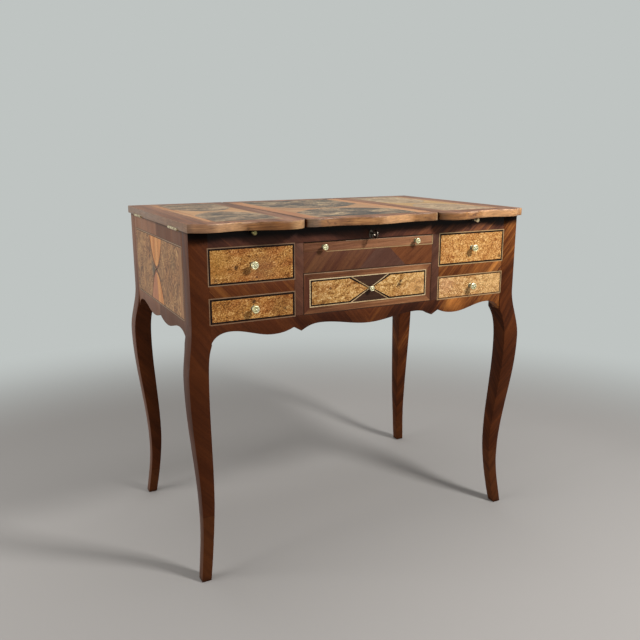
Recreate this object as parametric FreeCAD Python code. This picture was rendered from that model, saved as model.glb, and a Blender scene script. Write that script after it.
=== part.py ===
import FreeCAD, Part
import os

# Poudreuse dressing table in the rococo manner, millimetres.
# +X is to the right seen from the front, +Y runs to the back, +Z is up.
# The origin is on the floor under the middle of the table's overall box.

# Overall sizes
height = 750.0
carcass_width = 793.0
carcass_depth = 470.0
flap_thickness = 16.5
side_overhang = 3.5          # top beyond the carcass at each side
back_overhang = 11.0         # top beyond the carcass at the back
corner_overhang = 11.0       # front corners of the top beyond the facade
edge_round = 1.8             # eased edges of the top
bulge = 30.0                 # fullest point of the front edge beyond its corners

# Facade: widths from the corner inwards, heights from the top down
post = 38.0                  # square section of the corner posts
divider = 21.0
bay_width = 180.0            # side bays between post and divider
frieze_height = 33.5
upper_opening = 71.0         # height of the upper side fronts
drawer_rail_height = 27.0
lower_opening = 50.0         # height of the lower side openings
centre_opening = 85.0        # height of the centre drawer opening
slide_opening = 19.5

# Thicknesses of the boards
rail_depth = 22.0
side_thickness = 18.0
back_thickness = 18.0
board = 8.0                  # bottom boards and well floors
guide_height = 16.0
kicker_width = 20.0
bed_thickness = 10.0
tray_floor_thickness = 6.0

# Fits
front_gap = 0.7              # around drawer fronts and the slide
seam_gap = 4.0               # between the flaps
seam_cover = 2.5             # centre flap beyond the centre bay
slide_top_gap = 1.2
play = 0.3                   # hidden running gaps
floor_gap = 1.4              # below the hidden floors
overrun = 1.0                # cuts run past the faces they open
bore_play = 0.05             # radial, pins and stems in their bores

# Cabriole leg, measured inwards from the post's outer face
toe_width = 20.2
toe_out = 2.0
toe_lean = 5.5               # lean of the toe over one handle
toe_bevel = 1.2
ankle_height = 130.0
ankle_tuck = 9.3
inner_ankle_height = 175.0
inner_ankle = 35.1
knee_drop = 110.0            # below the drawer openings, as the next heights are
knee_out = 13.4
inner_knee_drop = 127.0
inner_knee = 26.2
crotch_drop = 40.0           # where the apron runs into the leg
crotch_lean = 6.5
shoulder_rise = 4.0          # top of the knee's curve over the bottom of the openings
handle_share = 0.36          # length of a curve's handle as a share of its rise

# Scalloped aprons, drops below the drawer openings
lobe_drop = 33.7             # lowest points of the lobes
arch_drop = 17.5             # arches next to the legs
inner_arch_drop = 20.5
cusp_drop = 24.0
side_cusp_drop = 23.0
back_apron_drop = 26.0       # straight lower edge of the back panel

# Butt hinges
hinge_length = 64.0
hinge_out = 2.5              # pin axis beyond the carcass face
knuckle_radius = 3.0
leaf_thickness = 1.6
leaf_width = 17.0
knuckles = 3
knuckle_gap = 0.15
hinge_pin_radius = 1.25
hinge_inset = 87.0           # hinge middle from the carcass corners
seam_hinge_inset = 50.0      # hinge middle from the centre flap's edges
mortise_gap = 0.4

# Turned brass knobs
knob_radius = 8.0
slide_knob_radius = 6.4
small_knob_radius = 5.5
knob_projection = 16.0
knob_shank_length = 12.0
knob_shank_radius = 2.0
slide_knob_inset = 44.0

# Spring-less bolt catches for the side flaps
catch_height_below_top = 5.6
catch_travel = 8.0
catch_stem_radius = 2.5
catch_knob_radius = 5.0
catch_knob_projection = 10.0
keeper_width = 16.0
keeper_thickness = 1.5
keeper_drop = 12.0
keeper_hole_radius = 2.9

# Lock, key and strike
key_drop = 22.0              # key below the top of the carcass
case_width = 48.0
case_height = 29.0
case_depth = 11.0
case_wall = 1.2
selvedge_width = 62.0
bolt_width = 14.0
bolt_thickness = 5.0
bolt_length = 15.0
bolt_travel = 7.0
bolt_play = 0.2
key_radius = 2.2
key_bit_reach = 6.0
key_bit_length = 5.0
key_bit_thickness = 1.8
key_reach_outside = 11.0     # shank between facade and bow
bow_radius = 8.6
bow_hole_radius = 5.2
bow_thickness = 2.8
bow_bevel = 0.8
drill_pin_radius = 1.0
drill_play = 0.1
plate_width = 11.0
plate_height = 17.0
plate_thickness = 1.0
strike_width = 46.0
strike_depth = 12.0

# Mirror under the centre flap
mirror_margin = 14.0         # frame to the recess walls
mirror_frame_width = 18.0
mirror_frame_depth = 13.0
mirror_lip = 5.0
mirror_thickness = 4.0

# Drawers and slide
drawer_front_thickness = 18.0
drawer_side_thickness = 8.0
drawer_side_drop = 7.0       # sides lower than the front
drawer_bottom_thickness = 4.0
drawer_bottom_rise = 6.0
groove = 3.0
dovetail_depth = 11.0
dovetail_neck = 10.0
dovetail_flare = 3.0
leather_thickness = 1.2
leather_front_margin = 40.0
leather_side_margin = 26.0
leather_back_margin = 81.0
glue_block = 14.0
glue_block_length = 45.0

# Places that follow from the sizes above
whole_depth = corner_overhang + bulge + carcass_depth + max(back_overhang, knee_out)
facade = corner_overhang + bulge - whole_depth / 2
back = facade + carcass_depth
top_back = back + back_overhang
corner_line = facade - corner_overhang
half_carcass = carcass_width / 2
half_top = half_carcass + side_overhang
carcass_top = height - flap_thickness
opening_outer = half_carcass - post
opening_inner = opening_outer - bay_width
centre_half = opening_inner - divider
seam = centre_half + seam_cover
frieze_bottom = carcass_top - frieze_height
upper_opening_bottom = frieze_bottom - upper_opening
lower_opening_top = upper_opening_bottom - drawer_rail_height
drawer_floor = lower_opening_top - lower_opening
centre_opening_top = drawer_floor + centre_opening
slide_floor = frieze_bottom - slide_opening
inner_side = half_carcass - side_thickness
inner_back = back - back_thickness
rail_back = facade + rail_depth
bay_middle = (opening_outer + opening_inner) / 2
well_floor_bottom = lower_opening_top + floor_gap
centre_line = (facade + back) / 2
slide_thickness = slide_opening - play - slide_top_gap
knee_height = drawer_floor - knee_drop
inner_knee_height = drawer_floor - inner_knee_drop
crotch_height = drawer_floor - crotch_drop
shoulder_height = drawer_floor + shoulder_rise
lobe_height = drawer_floor - lobe_drop
arch_height = drawer_floor - arch_drop
inner_arch_height = drawer_floor - inner_arch_drop
cusp_height = drawer_floor - cusp_drop
side_cusp_height = drawer_floor - side_cusp_drop
back_apron_height = drawer_floor - back_apron_drop
key_height = carcass_top - key_drop


def vec(x, y, z):
    return FreeCAD.Vector(x, y, z)


def box(x0, x1, y0, y1, z0, z1):
    return Part.makeBox(x1 - x0, y1 - y0, z1 - z0, vec(x0, y0, z0))


def rod_y(radius, x, z, y0, y1):
    return Part.makeCylinder(radius, y1 - y0, vec(x, y0, z), vec(0, 1, 0))


def flipped(shape):
    """The same piece on the other side of the table."""
    return shape.mirror(vec(0, 0, 0), vec(1, 0, 0))


def bezier(points):
    curve = Part.BezierCurve()
    curve.setPoles(points)
    return curve.toShape()


def save(node, *solids):
    shape = solids[0] if len(solids) == 1 else Part.makeCompound(list(solids))
    for solid in shape.Solids:
        if not solid.isValid():
            print("not valid:", node)
    shape.exportStep("parts/" + node + ".step")


os.makedirs("parts", exist_ok=True)


# Corner post and cabriole leg: one profile sawn from two adjoining faces
def upright_curve(u0, z0, u1, z1, place):
    """An S curve that starts and ends upright."""
    rise = (z1 - z0) * handle_share
    return bezier([place(u0, z0), place(u0, z0 + rise), place(u1, z1 - rise), place(u1, z1)])


def leg_face(place):
    toe_handle = ankle_height * handle_share
    inner_toe_handle = inner_ankle_height * handle_share
    inner_toe = toe_width - toe_out
    knee_rise = (crotch_height - inner_knee_height) * handle_share
    edges = [
        bezier([place(-toe_out, 0), place(toe_lean - toe_out, toe_handle),
                place(ankle_tuck, ankle_height - toe_handle), place(ankle_tuck, ankle_height)]),
        upright_curve(ankle_tuck, ankle_height, -knee_out, knee_height, place),
        upright_curve(-knee_out, knee_height, 0, shoulder_height, place),
        Part.makeLine(place(0, shoulder_height), place(0, carcass_top)),
        Part.makeLine(place(0, carcass_top), place(post, carcass_top)),
        Part.makeLine(place(post, carcass_top), place(post, crotch_height)),
        bezier([place(post, crotch_height), place(post - crotch_lean, crotch_height - knee_rise / 2),
                place(inner_knee, crotch_height - knee_rise), place(inner_knee, inner_knee_height)]),
        upright_curve(inner_knee, inner_knee_height, inner_ankle, inner_ankle_height, place),
        bezier([place(inner_ankle, inner_ankle_height),
                place(inner_ankle, inner_ankle_height - inner_toe_handle),
                place(inner_toe + toe_lean, inner_toe_handle / 2), place(inner_toe, 0)]),
        Part.makeLine(place(inner_toe, 0), place(-toe_out, 0)),
    ]
    return Part.Face(Part.Wire(edges))


def corner_leg():
    reach = post + knee_out
    front_view = leg_face(lambda u, z: vec(u, -reach, z)).extrude(vec(0, 2 * reach + post, 0))
    side_view = leg_face(lambda u, z: vec(-reach, u, z)).extrude(vec(2 * reach + post, 0, 0))
    leg = front_view.common(side_view)
    floor_edges = [edge for edge in leg.Edges if edge.BoundBox.ZMax < toe_bevel / 2]
    leg = leg.makeChamfer(toe_bevel, floor_edges)
    leg.translate(vec(-half_carcass, facade, 0))
    return leg.Solids[0]


leg = corner_leg()
back_leg = leg.mirror(vec(0, centre_line, 0), vec(0, 1, 0))
save("leg_front_left", leg)
save("leg_front_right", flipped(leg))
save("leg_back_left", back_leg)
save("leg_back_right", flipped(back_leg))


# Scalloped lower edges, drawn from the middle outwards
def level_curve(s0, z0, s1, z1, place):
    """An S curve that starts and ends level."""
    run = (s1 - s0) * handle_share
    return bezier([place(s0, z0), place(s0 + run, z0), place(s1 - run, z1), place(s1, z1)])


def front_scallop(place):
    half = opening_outer
    arch_share, tip_share, cusp_share, lobe_share, outer_arch_share = 0.33, 0.455, 0.502, 0.63, 0.887
    near_tip_share, after_cusp_share = 0.75, 0.25
    arch = half * arch_share
    tip = half * tip_share
    cusp = half * cusp_share
    lobe = half * lobe_share
    outer_arch = half * outer_arch_share
    near_tip = arch + (tip - arch) * near_tip_share
    after_cusp = cusp + (lobe - cusp) * after_cusp_share
    return [
        level_curve(0, lobe_height, arch, inner_arch_height, place),
        bezier([place(arch, inner_arch_height), place((arch + tip) / 2, inner_arch_height),
                place(near_tip, (inner_arch_height + lobe_height) / 2), place(tip, lobe_height)]),
        Part.makeLine(place(tip, lobe_height), place(cusp, cusp_height)),
        bezier([place(cusp, cusp_height), place(after_cusp, (cusp_height + lobe_height) / 2),
                place((cusp + lobe) / 2, lobe_height), place(lobe, lobe_height)]),
        level_curve(lobe, lobe_height, outer_arch, arch_height, place),
        bezier([place(outer_arch, arch_height), place((outer_arch + half) / 2, arch_height),
                place(half - crotch_lean, (arch_height + crotch_height) / 2 + crotch_lean / 2),
                place(half, crotch_height)]),
    ]


def side_scallop(place):
    half = carcass_depth / 2 - post
    lobe_share, arch_share, after_cusp_share = 0.29, 0.77, 0.07
    lobe = half * lobe_share
    arch = half * arch_share
    return [
        bezier([place(0, side_cusp_height),
                place(half * after_cusp_share, (side_cusp_height + lobe_height) / 2),
                place(lobe / 2, lobe_height), place(lobe, lobe_height)]),
        level_curve(lobe, lobe_height, arch, arch_height, place),
        bezier([place(arch, arch_height), place((arch + half) / 2, arch_height),
                place(half - crotch_lean, (arch_height + crotch_height) / 2 + crotch_lean / 2),
                place(half, crotch_height)]),
    ]


def scalloped_board(scallop, place, half, top, thickness):
    """A board whose lower edge has the scallop and its mirror image."""
    edges = scallop(place) + scallop(lambda s, z: place(-s, z))
    edges += [Part.makeLine(place(half, crotch_height), place(half, top)),
              Part.makeLine(place(half, top), place(-half, top)),
              Part.makeLine(place(-half, top), place(-half, crotch_height))]
    wire = Part.Wire(Part.__sortEdges__(edges))
    return Part.Face(wire).extrude(thickness)


apron = scalloped_board(front_scallop, lambda s, z: vec(s, facade, z), opening_outer, drawer_floor,
                        vec(0, rail_depth, 0))
save("front_apron", apron)


# Butt hinge with its pin along Y, the joint plane at z 0 and the leaves towards +X
def butt_hinge():
    """Fixed leaf below the joint plane with the pin riveted in it, and the moving leaf above."""
    pitch = hinge_length / knuckles
    half = hinge_length / 2
    bore = rod_y(hinge_pin_radius + bore_play, 0, 0, -half - overrun, half + overrun)
    clear = knuckle_radius + mortise_gap
    leaves = []
    for odd, low in ((0, -leaf_thickness), (1, 0.0)):
        leaf = box(clear, leaf_width, -half, half, low, low + leaf_thickness)
        for index in range(odd, knuckles, 2):
            y0 = -half + index * pitch + knuckle_gap
            y1 = y0 + pitch - 2 * knuckle_gap
            leaf = leaf.fuse(box(0, leaf_width, y0, y1, low, low + leaf_thickness))
            leaf = leaf.fuse(rod_y(knuckle_radius, 0, 0, y0, y1))
        leaves.append(leaf)
    pin = rod_y(hinge_pin_radius, 0, 0, -half + knuckle_gap, half - knuckle_gap)
    fixed = leaves[0].fuse(pin).removeSplitter().Solids[0]
    moving = leaves[1].removeSplitter().cut(bore).Solids[0]
    return fixed, moving


def hinge_mortise():
    """The space that one hinge takes out of the wood, above and below the joint plane."""
    half = hinge_length / 2 + play
    barrel = rod_y(knuckle_radius + mortise_gap, 0, 0, -half, half)
    leaf_bed = box(0, leaf_width, -hinge_length / 2, hinge_length / 2, -leaf_thickness, leaf_thickness)
    return barrel.fuse(leaf_bed)


def at_left(shape, y):
    moved = shape.copy()
    moved.translate(vec(-half_carcass - hinge_out, y, carcass_top))
    return moved


def at_back(shape, x):
    moved = shape.copy()
    moved.rotate(vec(0, 0, 0), vec(0, 0, 1), -90)
    moved.translate(vec(x, back + hinge_out, carcass_top))
    return moved


side_hinge_places = [facade + hinge_inset, back - hinge_inset]
back_hinge_places = [-seam + seam_hinge_inset, seam - seam_hinge_inset]
fixed_leaf, moving_leaf = butt_hinge()
left_mortises = [at_left(hinge_mortise(), y) for y in side_hinge_places]
back_mortises = [at_back(hinge_mortise(), x) for x in back_hinge_places]

fixed_leaves = [at_left(fixed_leaf, y) for y in side_hinge_places]
fixed_leaves += [flipped(leaf) for leaf in fixed_leaves]
fixed_leaves += [at_back(fixed_leaf, x) for x in back_hinge_places]
left_leaves = [at_left(moving_leaf, y) for y in side_hinge_places]
save("hinge_leaves_carcass", *fixed_leaves)
save("hinge_leaves_flap_left", *left_leaves)
save("hinge_leaves_flap_right", *[flipped(leaf) for leaf in left_leaves])
save("hinge_leaves_flap_centre", *[at_back(moving_leaf, x) for x in back_hinge_places])


# Side and back panels
def side_panel():
    half = carcass_depth / 2 - post
    panel = scalloped_board(side_scallop, lambda s, z: vec(-half_carcass, centre_line + s, z), half,
                            carcass_top, vec(side_thickness, 0, 0))
    for mortise in left_mortises:
        panel = panel.cut(mortise)
    return panel.Solids[0]


left_panel = side_panel()
save("side_panel_left", left_panel)
save("side_panel_right", flipped(left_panel))

back_panel = box(-opening_outer, opening_outer, inner_back, back, back_apron_height, carcass_top)
for mortise in back_mortises:
    back_panel = back_panel.cut(mortise)
save("back_panel", back_panel)


# Lock in the frieze rail
case_front = rail_back - case_depth
case_top = carcass_top - leaf_thickness
case_bottom = case_top - case_height
bolt_middle = case_front + case_depth / 2
bolt_bottom = carcass_top - bolt_play - bolt_length
keyhole_radius = key_radius + play
bit_slot_half = key_bit_thickness / 2 + play
bit_slot_bottom = key_height - key_bit_reach - play


def keyhole(y0, y1):
    """Round hole with a slot below it for the bit."""
    hole = rod_y(keyhole_radius, 0, key_height, y0, y1)
    return hole.fuse(box(-bit_slot_half, bit_slot_half, y0, y1, bit_slot_bottom, key_height))


def bolt_space(z0, z1):
    half = bolt_width / 2 + bolt_play
    deep = bolt_thickness / 2 + bolt_play
    return box(-half, half, bolt_middle - deep, bolt_middle + deep, z0, z1)


frieze = box(-opening_outer, opening_outer, facade, rail_back, frieze_bottom, carcass_top)
frieze = frieze.cut(box(-case_width / 2, case_width / 2, case_front, rail_back + overrun,
                        case_bottom, carcass_top + overrun))
frieze = frieze.cut(box(-selvedge_width / 2, selvedge_width / 2, case_front, rail_back + overrun,
                        case_top, carcass_top + overrun))
frieze = frieze.cut(keyhole(facade - overrun, case_front + overrun))
catch_z = carcass_top - catch_height_below_top
for side in (-1, 1):
    frieze = frieze.cut(rod_y(catch_stem_radius + bore_play, side * bay_middle, catch_z,
                              facade - overrun, rail_back + overrun))
save("frieze_rail", frieze.Solids[0])

case = box(-case_width / 2, case_width / 2, case_front, rail_back, case_bottom, case_top)
case = case.cut(box(-case_width / 2 + case_wall, case_width / 2 - case_wall, case_front + case_wall,
                    rail_back - case_wall, case_bottom + case_wall, case_top))
case = case.fuse(box(-selvedge_width / 2, selvedge_width / 2, case_front, rail_back,
                     case_top, carcass_top)).removeSplitter()
case = case.cut(keyhole(case_front - overrun, case_front + case_wall + overrun))
case = case.cut(bolt_space(case_top - overrun, carcass_top + overrun))
case = case.fuse(rod_y(drill_pin_radius, 0, key_height, case_front, rail_back - case_wall))
save("lock_case", case.Solids[0])

bolt = box(-bolt_width / 2, bolt_width / 2, bolt_middle - bolt_thickness / 2,
           bolt_middle + bolt_thickness / 2, bolt_bottom, bolt_bottom + bolt_length)
save("lock_bolt", bolt)

key_end = rail_back - case_wall - play
bow_middle = facade - key_reach_outside - bow_radius
bit_end = key_end - play
key = rod_y(key_radius, 0, key_height, bow_middle + bow_hole_radius, key_end)
key = key.fuse(box(-key_bit_thickness / 2, key_bit_thickness / 2, bit_end - key_bit_length, bit_end,
                   key_height - key_bit_reach, key_height))
bow = Part.makeCylinder(bow_radius, bow_thickness, vec(-bow_thickness / 2, bow_middle, key_height),
                        vec(1, 0, 0))
bow_rims = [edge for edge in bow.Edges if isinstance(edge.Curve, Part.Circle)]
bow = bow.makeChamfer(bow_bevel, bow_rims)
key = key.fuse(bow)
key = key.cut(Part.makeCylinder(bow_hole_radius, 2 * bow_radius, vec(-bow_radius, bow_middle, key_height),
                                vec(1, 0, 0)))
key = key.cut(rod_y(drill_pin_radius + drill_play, 0, key_height, case_front - overrun, key_end + overrun))
save("key", key.Solids[0])

plate_middle = (key_height + keyhole_radius + bit_slot_bottom) / 2
key_plate = Part.Face(Part.Wire(Part.Ellipse(vec(0, 0, 0), plate_height / 2, plate_width / 2).toShape()))
key_plate = key_plate.extrude(vec(0, 0, plate_thickness))
key_plate.rotate(vec(0, 0, 0), vec(0, 0, 1), 90)
key_plate.rotate(vec(0, 0, 0), vec(1, 0, 0), 90)
key_plate.translate(vec(0, facade, plate_middle))
save("key_plate", key_plate.cut(keyhole(facade - plate_thickness - overrun, facade + overrun)).Solids[0])


# Dividers, notched over the rails, and the rails between the fronts
divider_foot = drawer_floor - board - bed_thickness / 2
left_divider = box(-opening_inner, -centre_half, rail_back, inner_back, divider_foot, carcass_top)
left_divider = left_divider.fuse(box(-opening_inner, -centre_half, facade, rail_back, drawer_floor,
                                     frieze_bottom)).removeSplitter()
save("divider_left", left_divider)
save("divider_right", flipped(left_divider))

left_rail = box(-opening_outer, -opening_inner, facade, rail_back, lower_opening_top, upper_opening_bottom)
save("drawer_rail_left", left_rail)
save("drawer_rail_right", flipped(left_rail))
save("middle_rail", box(-centre_half, centre_half, facade, rail_back, centre_opening_top, slide_floor))


# Floors between the panels, notched round the posts
post_sections = [box(x0, x1, y0, y1, 0, height)
                 for x0, x1 in ((-half_carcass, -opening_outer), (opening_outer, half_carcass))
                 for y0, y1 in ((facade, facade + post), (back - post, back))]


def side_floor(z0, z1):
    floor = box(-inner_side, -opening_inner, rail_back, inner_back, z0, z1)
    for section in post_sections:
        floor = floor.cut(section)
    return floor.Solids[0]


bottom_board = side_floor(drawer_floor - board, drawer_floor)
save("bottom_board_left", bottom_board)
save("bottom_board_right", flipped(bottom_board))
save("bottom_board_centre", box(-centre_half, centre_half, rail_back, inner_back,
                                drawer_floor - board, drawer_floor))
well_floor = side_floor(well_floor_bottom, well_floor_bottom + board)
save("well_floor_left", well_floor)
save("well_floor_right", flipped(well_floor))
bed_top = slide_floor + play
save("slide_bed", box(-centre_half, centre_half, rail_back, inner_back, bed_top - bed_thickness, bed_top))
tray_floor_bottom = bed_top + slide_thickness + floor_gap
tray_top = tray_floor_bottom + tray_floor_thickness
save("mirror_tray_floor", box(-centre_half, centre_half, rail_back, inner_back, tray_floor_bottom, tray_top))

# Guides beside the lower drawers and kickers over the centre drawer
kicker_bottom = centre_opening_top + front_gap
left_guide = box(-inner_side, -opening_outer, facade + post, back - post,
                 drawer_floor, drawer_floor + guide_height)
left_kicker = box(-centre_half, -centre_half + kicker_width, rail_back, inner_back,
                  kicker_bottom, kicker_bottom + bed_thickness)
save("drawer_guides", left_guide, flipped(left_guide), left_kicker, flipped(left_kicker))


def glue_blocks():
    """Three-cornered blocks under the bottom boards, behind the apron and before the back panel."""
    top = drawer_floor - board
    blocks = []
    for x in (-bay_middle, 0, bay_middle):
        for y, sign in ((rail_back, 1), (inner_back, -1)):
            start = x - glue_block_length / 2
            corner = vec(start, y, top)
            wire = Part.makePolygon([corner, vec(start, y + sign * glue_block, top),
                                     vec(start, y, top - glue_block), corner])
            blocks.append(Part.Face(wire).extrude(vec(glue_block_length, 0, 0)))
    return blocks


save("glue_blocks", *glue_blocks())


# Turned knob standing on a face whose front lies at y
def knob(x, y, z, radius, projection, shank_radius, shank_length):
    foot_share, neck_share, face_share = 0.66, 0.34, 0.72
    foot_top_share, waist_share, widest_share = 0.22, 0.42, 0.82
    foot = radius * foot_share
    neck = radius * neck_share
    face = radius * face_share
    foot_top = projection * foot_top_share
    waist = projection * waist_share
    widest = projection * widest_share

    def at(r, out):
        return vec(r, -out, 0)

    edges = [
        Part.makeLine(at(0, -shank_length), at(shank_radius, -shank_length)),
        Part.makeLine(at(shank_radius, -shank_length), at(shank_radius, 0)),
        Part.makeLine(at(shank_radius, 0), at(foot, 0)),
        Part.makeLine(at(foot, 0), at(neck, foot_top)),
        Part.makeLine(at(neck, foot_top), at(neck, waist)),
        bezier([at(neck, waist), at(radius, waist), at(radius, widest)]),
        Part.makeLine(at(radius, widest), at(face, projection)),
        Part.makeLine(at(face, projection), at(0, projection)),
        Part.makeLine(at(0, projection), at(0, -shank_length)),
    ]
    turned = Part.Face(Part.Wire(edges)).revolve(vec(0, 0, 0), vec(0, 1, 0), 360)
    turned.translate(vec(x, y, z))
    return turned


def shank_hole(x, y, z):
    return rod_y(knob_shank_radius + bore_play, x, z, y - overrun, y + knob_shank_length + play)


def face_knob(x, z, radius):
    projection = knob_projection * radius / knob_radius
    return knob(x, facade, z, radius, projection, knob_shank_radius, knob_shank_length)


# Upper side fronts, fixed
upper_middle = (upper_opening_bottom + frieze_bottom) / 2
left_front = box(-opening_outer, -opening_inner, facade, facade + drawer_front_thickness,
                 upper_opening_bottom, frieze_bottom)
left_front = left_front.cut(shank_hole(-bay_middle, facade, upper_middle))
save("upper_front_left", left_front)
save("upper_front_right", flipped(left_front))
left_knob = face_knob(-bay_middle, upper_middle, knob_radius)
save("upper_knob_left", left_knob)
save("upper_knob_right", flipped(left_knob))


# Drawers with dovetailed sides
def dovetail(x, y0, z):
    """One tail of a drawer side, widening towards the front."""
    neck = dovetail_neck / 2
    wide = neck + dovetail_flare / 2
    y1 = y0 - dovetail_depth
    outline = Part.makePolygon([vec(x, y0, z - neck), vec(x, y1, z - wide), vec(x, y1, z + wide),
                                vec(x, y0, z + neck), vec(x, y0, z - neck)])
    return Part.Face(outline).extrude(vec(drawer_side_thickness, 0, 0))


def drawer(x0, x1, z0, z1, length, tails, radius):
    """Front, box pieces, bottom and knob of one drawer."""
    x0 += front_gap
    x1 -= front_gap
    z1 -= front_gap
    front_back = facade + drawer_front_thickness
    rear = facade + length
    side_top = z1 - drawer_side_drop
    front = box(x0, x1, facade, front_back, z0, z1)
    sides = []
    pitch = (side_top - z0) / tails
    middles = [z0 + pitch / 2 + index * pitch for index in range(tails)]
    for low in (x0, x1 - drawer_side_thickness):
        side = box(low, low + drawer_side_thickness, front_back, rear, z0, side_top)
        for middle in middles:
            tail = dovetail(low, front_back, middle)
            side = side.fuse(tail)
            front = front.cut(tail)
        sides.append(side.removeSplitter())
    bottom_z = z0 + drawer_bottom_rise
    bottom = box(x0 + drawer_side_thickness - groove, x1 - drawer_side_thickness + groove,
                 front_back - groove, rear, bottom_z, bottom_z + drawer_bottom_thickness)
    sides = [side.cut(bottom).Solids[0] for side in sides]
    front = front.cut(bottom)
    rear_piece = box(x0 + drawer_side_thickness, x1 - drawer_side_thickness,
                     rear - drawer_side_thickness, rear, bottom_z + drawer_bottom_thickness, side_top)
    middle_x = (x0 + x1) / 2
    middle_z = (z0 + z1) / 2
    front = front.cut(shank_hole(middle_x, facade, middle_z)).Solids[0]
    return front, sides + [rear_piece], bottom, face_knob(middle_x, middle_z, radius)


drawer_length = inner_back - facade - front_gap
front, pieces, bottom, pull = drawer(-opening_outer, -opening_inner, drawer_floor, lower_opening_top,
                                     drawer_length, 2, knob_radius)
save("drawer_left_front", front)
save("drawer_left_box", *pieces, bottom)
save("drawer_left_knob", pull)
save("drawer_right_front", flipped(front))
save("drawer_right_box", *[flipped(piece) for piece in pieces], flipped(bottom))
save("drawer_right_knob", flipped(pull))
front, pieces, bottom, pull = drawer(-centre_half, centre_half, drawer_floor, centre_opening_top,
                                     drawer_length, 3, small_knob_radius)
save("drawer_centre_front", front)
save("drawer_centre_box", *pieces)
save("drawer_centre_bottom", bottom)
save("drawer_centre_knob", pull)

# Writing slide
slide_half = centre_half - front_gap
slide_top = bed_top + slide_thickness
slide_knob_z = (bed_top + slide_top) / 2
slide_board = box(-slide_half, slide_half, facade, facade + drawer_length, bed_top, slide_top)
slide_back = facade + drawer_length
leather = box(-slide_half + leather_side_margin, slide_half - leather_side_margin,
              facade + leather_front_margin, slide_back - leather_back_margin,
              slide_top - leather_thickness, slide_top)
slide_knob_x = slide_half - slide_knob_inset
slide_board = slide_board.cut(leather)
for x in (-slide_knob_x, slide_knob_x):
    slide_board = slide_board.cut(shank_hole(x, facade, slide_knob_z))
save("slide_board", slide_board.Solids[0])
save("slide_leather", leather)
left_knob = face_knob(-slide_knob_x, slide_knob_z, slide_knob_radius)
save("slide_knob_left", left_knob)
save("slide_knob_right", flipped(left_knob))


# Top flaps with a crossbow front edge, drawn as distances in front of the corner line
notch_share, swell_share, waist_share, middle_share = 0.13, 0.45, 0.38, 0.92
shoulder_share, hollow_share = 0.53, 0.17
notch = bulge * notch_share
swell = bulge * swell_share
waist_out = bulge * waist_share
middle_out = bulge * middle_share
shoulder_out = bulge * shoulder_share
hollow_out = bulge * hollow_share


def front_point(x, out):
    return vec(x, corner_line - out, carcass_top)


def wave(x0, out0, x1, out1):
    """An S curve of the front edge that starts and ends parallel to the facade."""
    run = (x1 - x0) * handle_share
    return bezier([front_point(x0, out0), front_point(x0 + run, out0),
                   front_point(x1 - run, out1), front_point(x1, out1)])


def flap(front_edges, x0, out0, x1, out1):
    """Close the front edge with straight sides and back, thicken it and ease its upper rim."""
    left_back = vec(x0, top_back, carcass_top)
    right_back = vec(x1, top_back, carcass_top)
    edges = front_edges + [Part.makeLine(front_point(x0, out0), left_back),
                           Part.makeLine(left_back, right_back),
                           Part.makeLine(right_back, front_point(x1, out1))]
    board = Part.Face(Part.Wire(Part.__sortEdges__(edges))).extrude(vec(0, 0, flap_thickness))
    top_rim = [edge for edge in board.Edges if edge.BoundBox.ZMin > height - edge_round]
    return board.makeFillet(edge_round, top_rim)


def side_flap():
    outer = -half_top
    inner = -seam - seam_gap / 2
    shoulder_place_share, hollow_place_share, full_place_share, corner_share = 0.18, 0.42, 0.82, 0.09
    span = inner - outer
    at_shoulder = outer + span * shoulder_place_share
    at_hollow = outer + span * hollow_place_share
    at_full = outer + span * full_place_share
    edges = [
        bezier([front_point(outer, 0), front_point(outer + span * corner_share, hollow_out),
                front_point(at_shoulder - span * corner_share, shoulder_out),
                front_point(at_shoulder, shoulder_out)]),
        wave(at_shoulder, shoulder_out, at_hollow, hollow_out),
        wave(at_hollow, hollow_out, at_full, bulge),
        bezier([front_point(at_full, bulge), front_point((at_full + inner) / 2, bulge),
                front_point(inner - 2 * seam_gap, (bulge + swell) / 2), front_point(inner, notch)]),
    ]
    return flap(edges, outer, 0, inner, notch)


def centre_flap():
    half = seam - seam_gap / 2
    full_place_share, waist_place_share = 0.87, 0.6
    edges = []
    for end in (-half, half):
        full = end * full_place_share
        waist = end * waist_place_share
        edges += [
            bezier([front_point(end, notch), front_point(end, (notch + swell) / 2),
                    front_point((end + full) / 2, swell), front_point(full, swell)]),
            wave(full, swell, waist, waist_out),
            wave(waist, waist_out, 0, middle_out),
        ]
    return flap(edges, -half, notch, half, notch)


left_flap = side_flap()
for mortise in left_mortises:
    left_flap = left_flap.cut(mortise)
left_flap = left_flap.Solids[0]
save("flap_left", left_flap)
save("flap_right", flipped(left_flap))

mirror_half = centre_half - mirror_margin
mirror_front = rail_back + mirror_margin
mirror_back = inner_back - mirror_margin
mirror_bottom = carcass_top - mirror_frame_depth
strike = box(-strike_width / 2, strike_width / 2, bolt_middle - strike_depth / 2,
             bolt_middle + strike_depth / 2, carcass_top, carcass_top + leaf_thickness)
bolt_mortise = bolt_space(carcass_top - overrun, carcass_top + bolt_travel + overrun)
top_flap = centre_flap()
for mortise in back_mortises:
    top_flap = top_flap.cut(mortise)
top_flap = top_flap.cut(strike).cut(bolt_mortise).Solids[0]
save("flap_centre", top_flap)
save("lock_strike", strike.cut(bolt_mortise).Solids[0])


def mirror_frame():
    """Moulded frame that holds the glass against the flap."""
    width = mirror_frame_width
    frame = box(-mirror_half, mirror_half, mirror_front, mirror_back, mirror_bottom, carcass_top)
    lower_rim = [edge for edge in frame.Edges if edge.BoundBox.ZMax < mirror_bottom + play]
    frame = frame.makeChamfer(mirror_lip, lower_rim)
    sight = box(-mirror_half + width, mirror_half - width, mirror_front + width, mirror_back - width,
                mirror_bottom - overrun, carcass_top + overrun)
    return frame.cut(sight)


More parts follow.
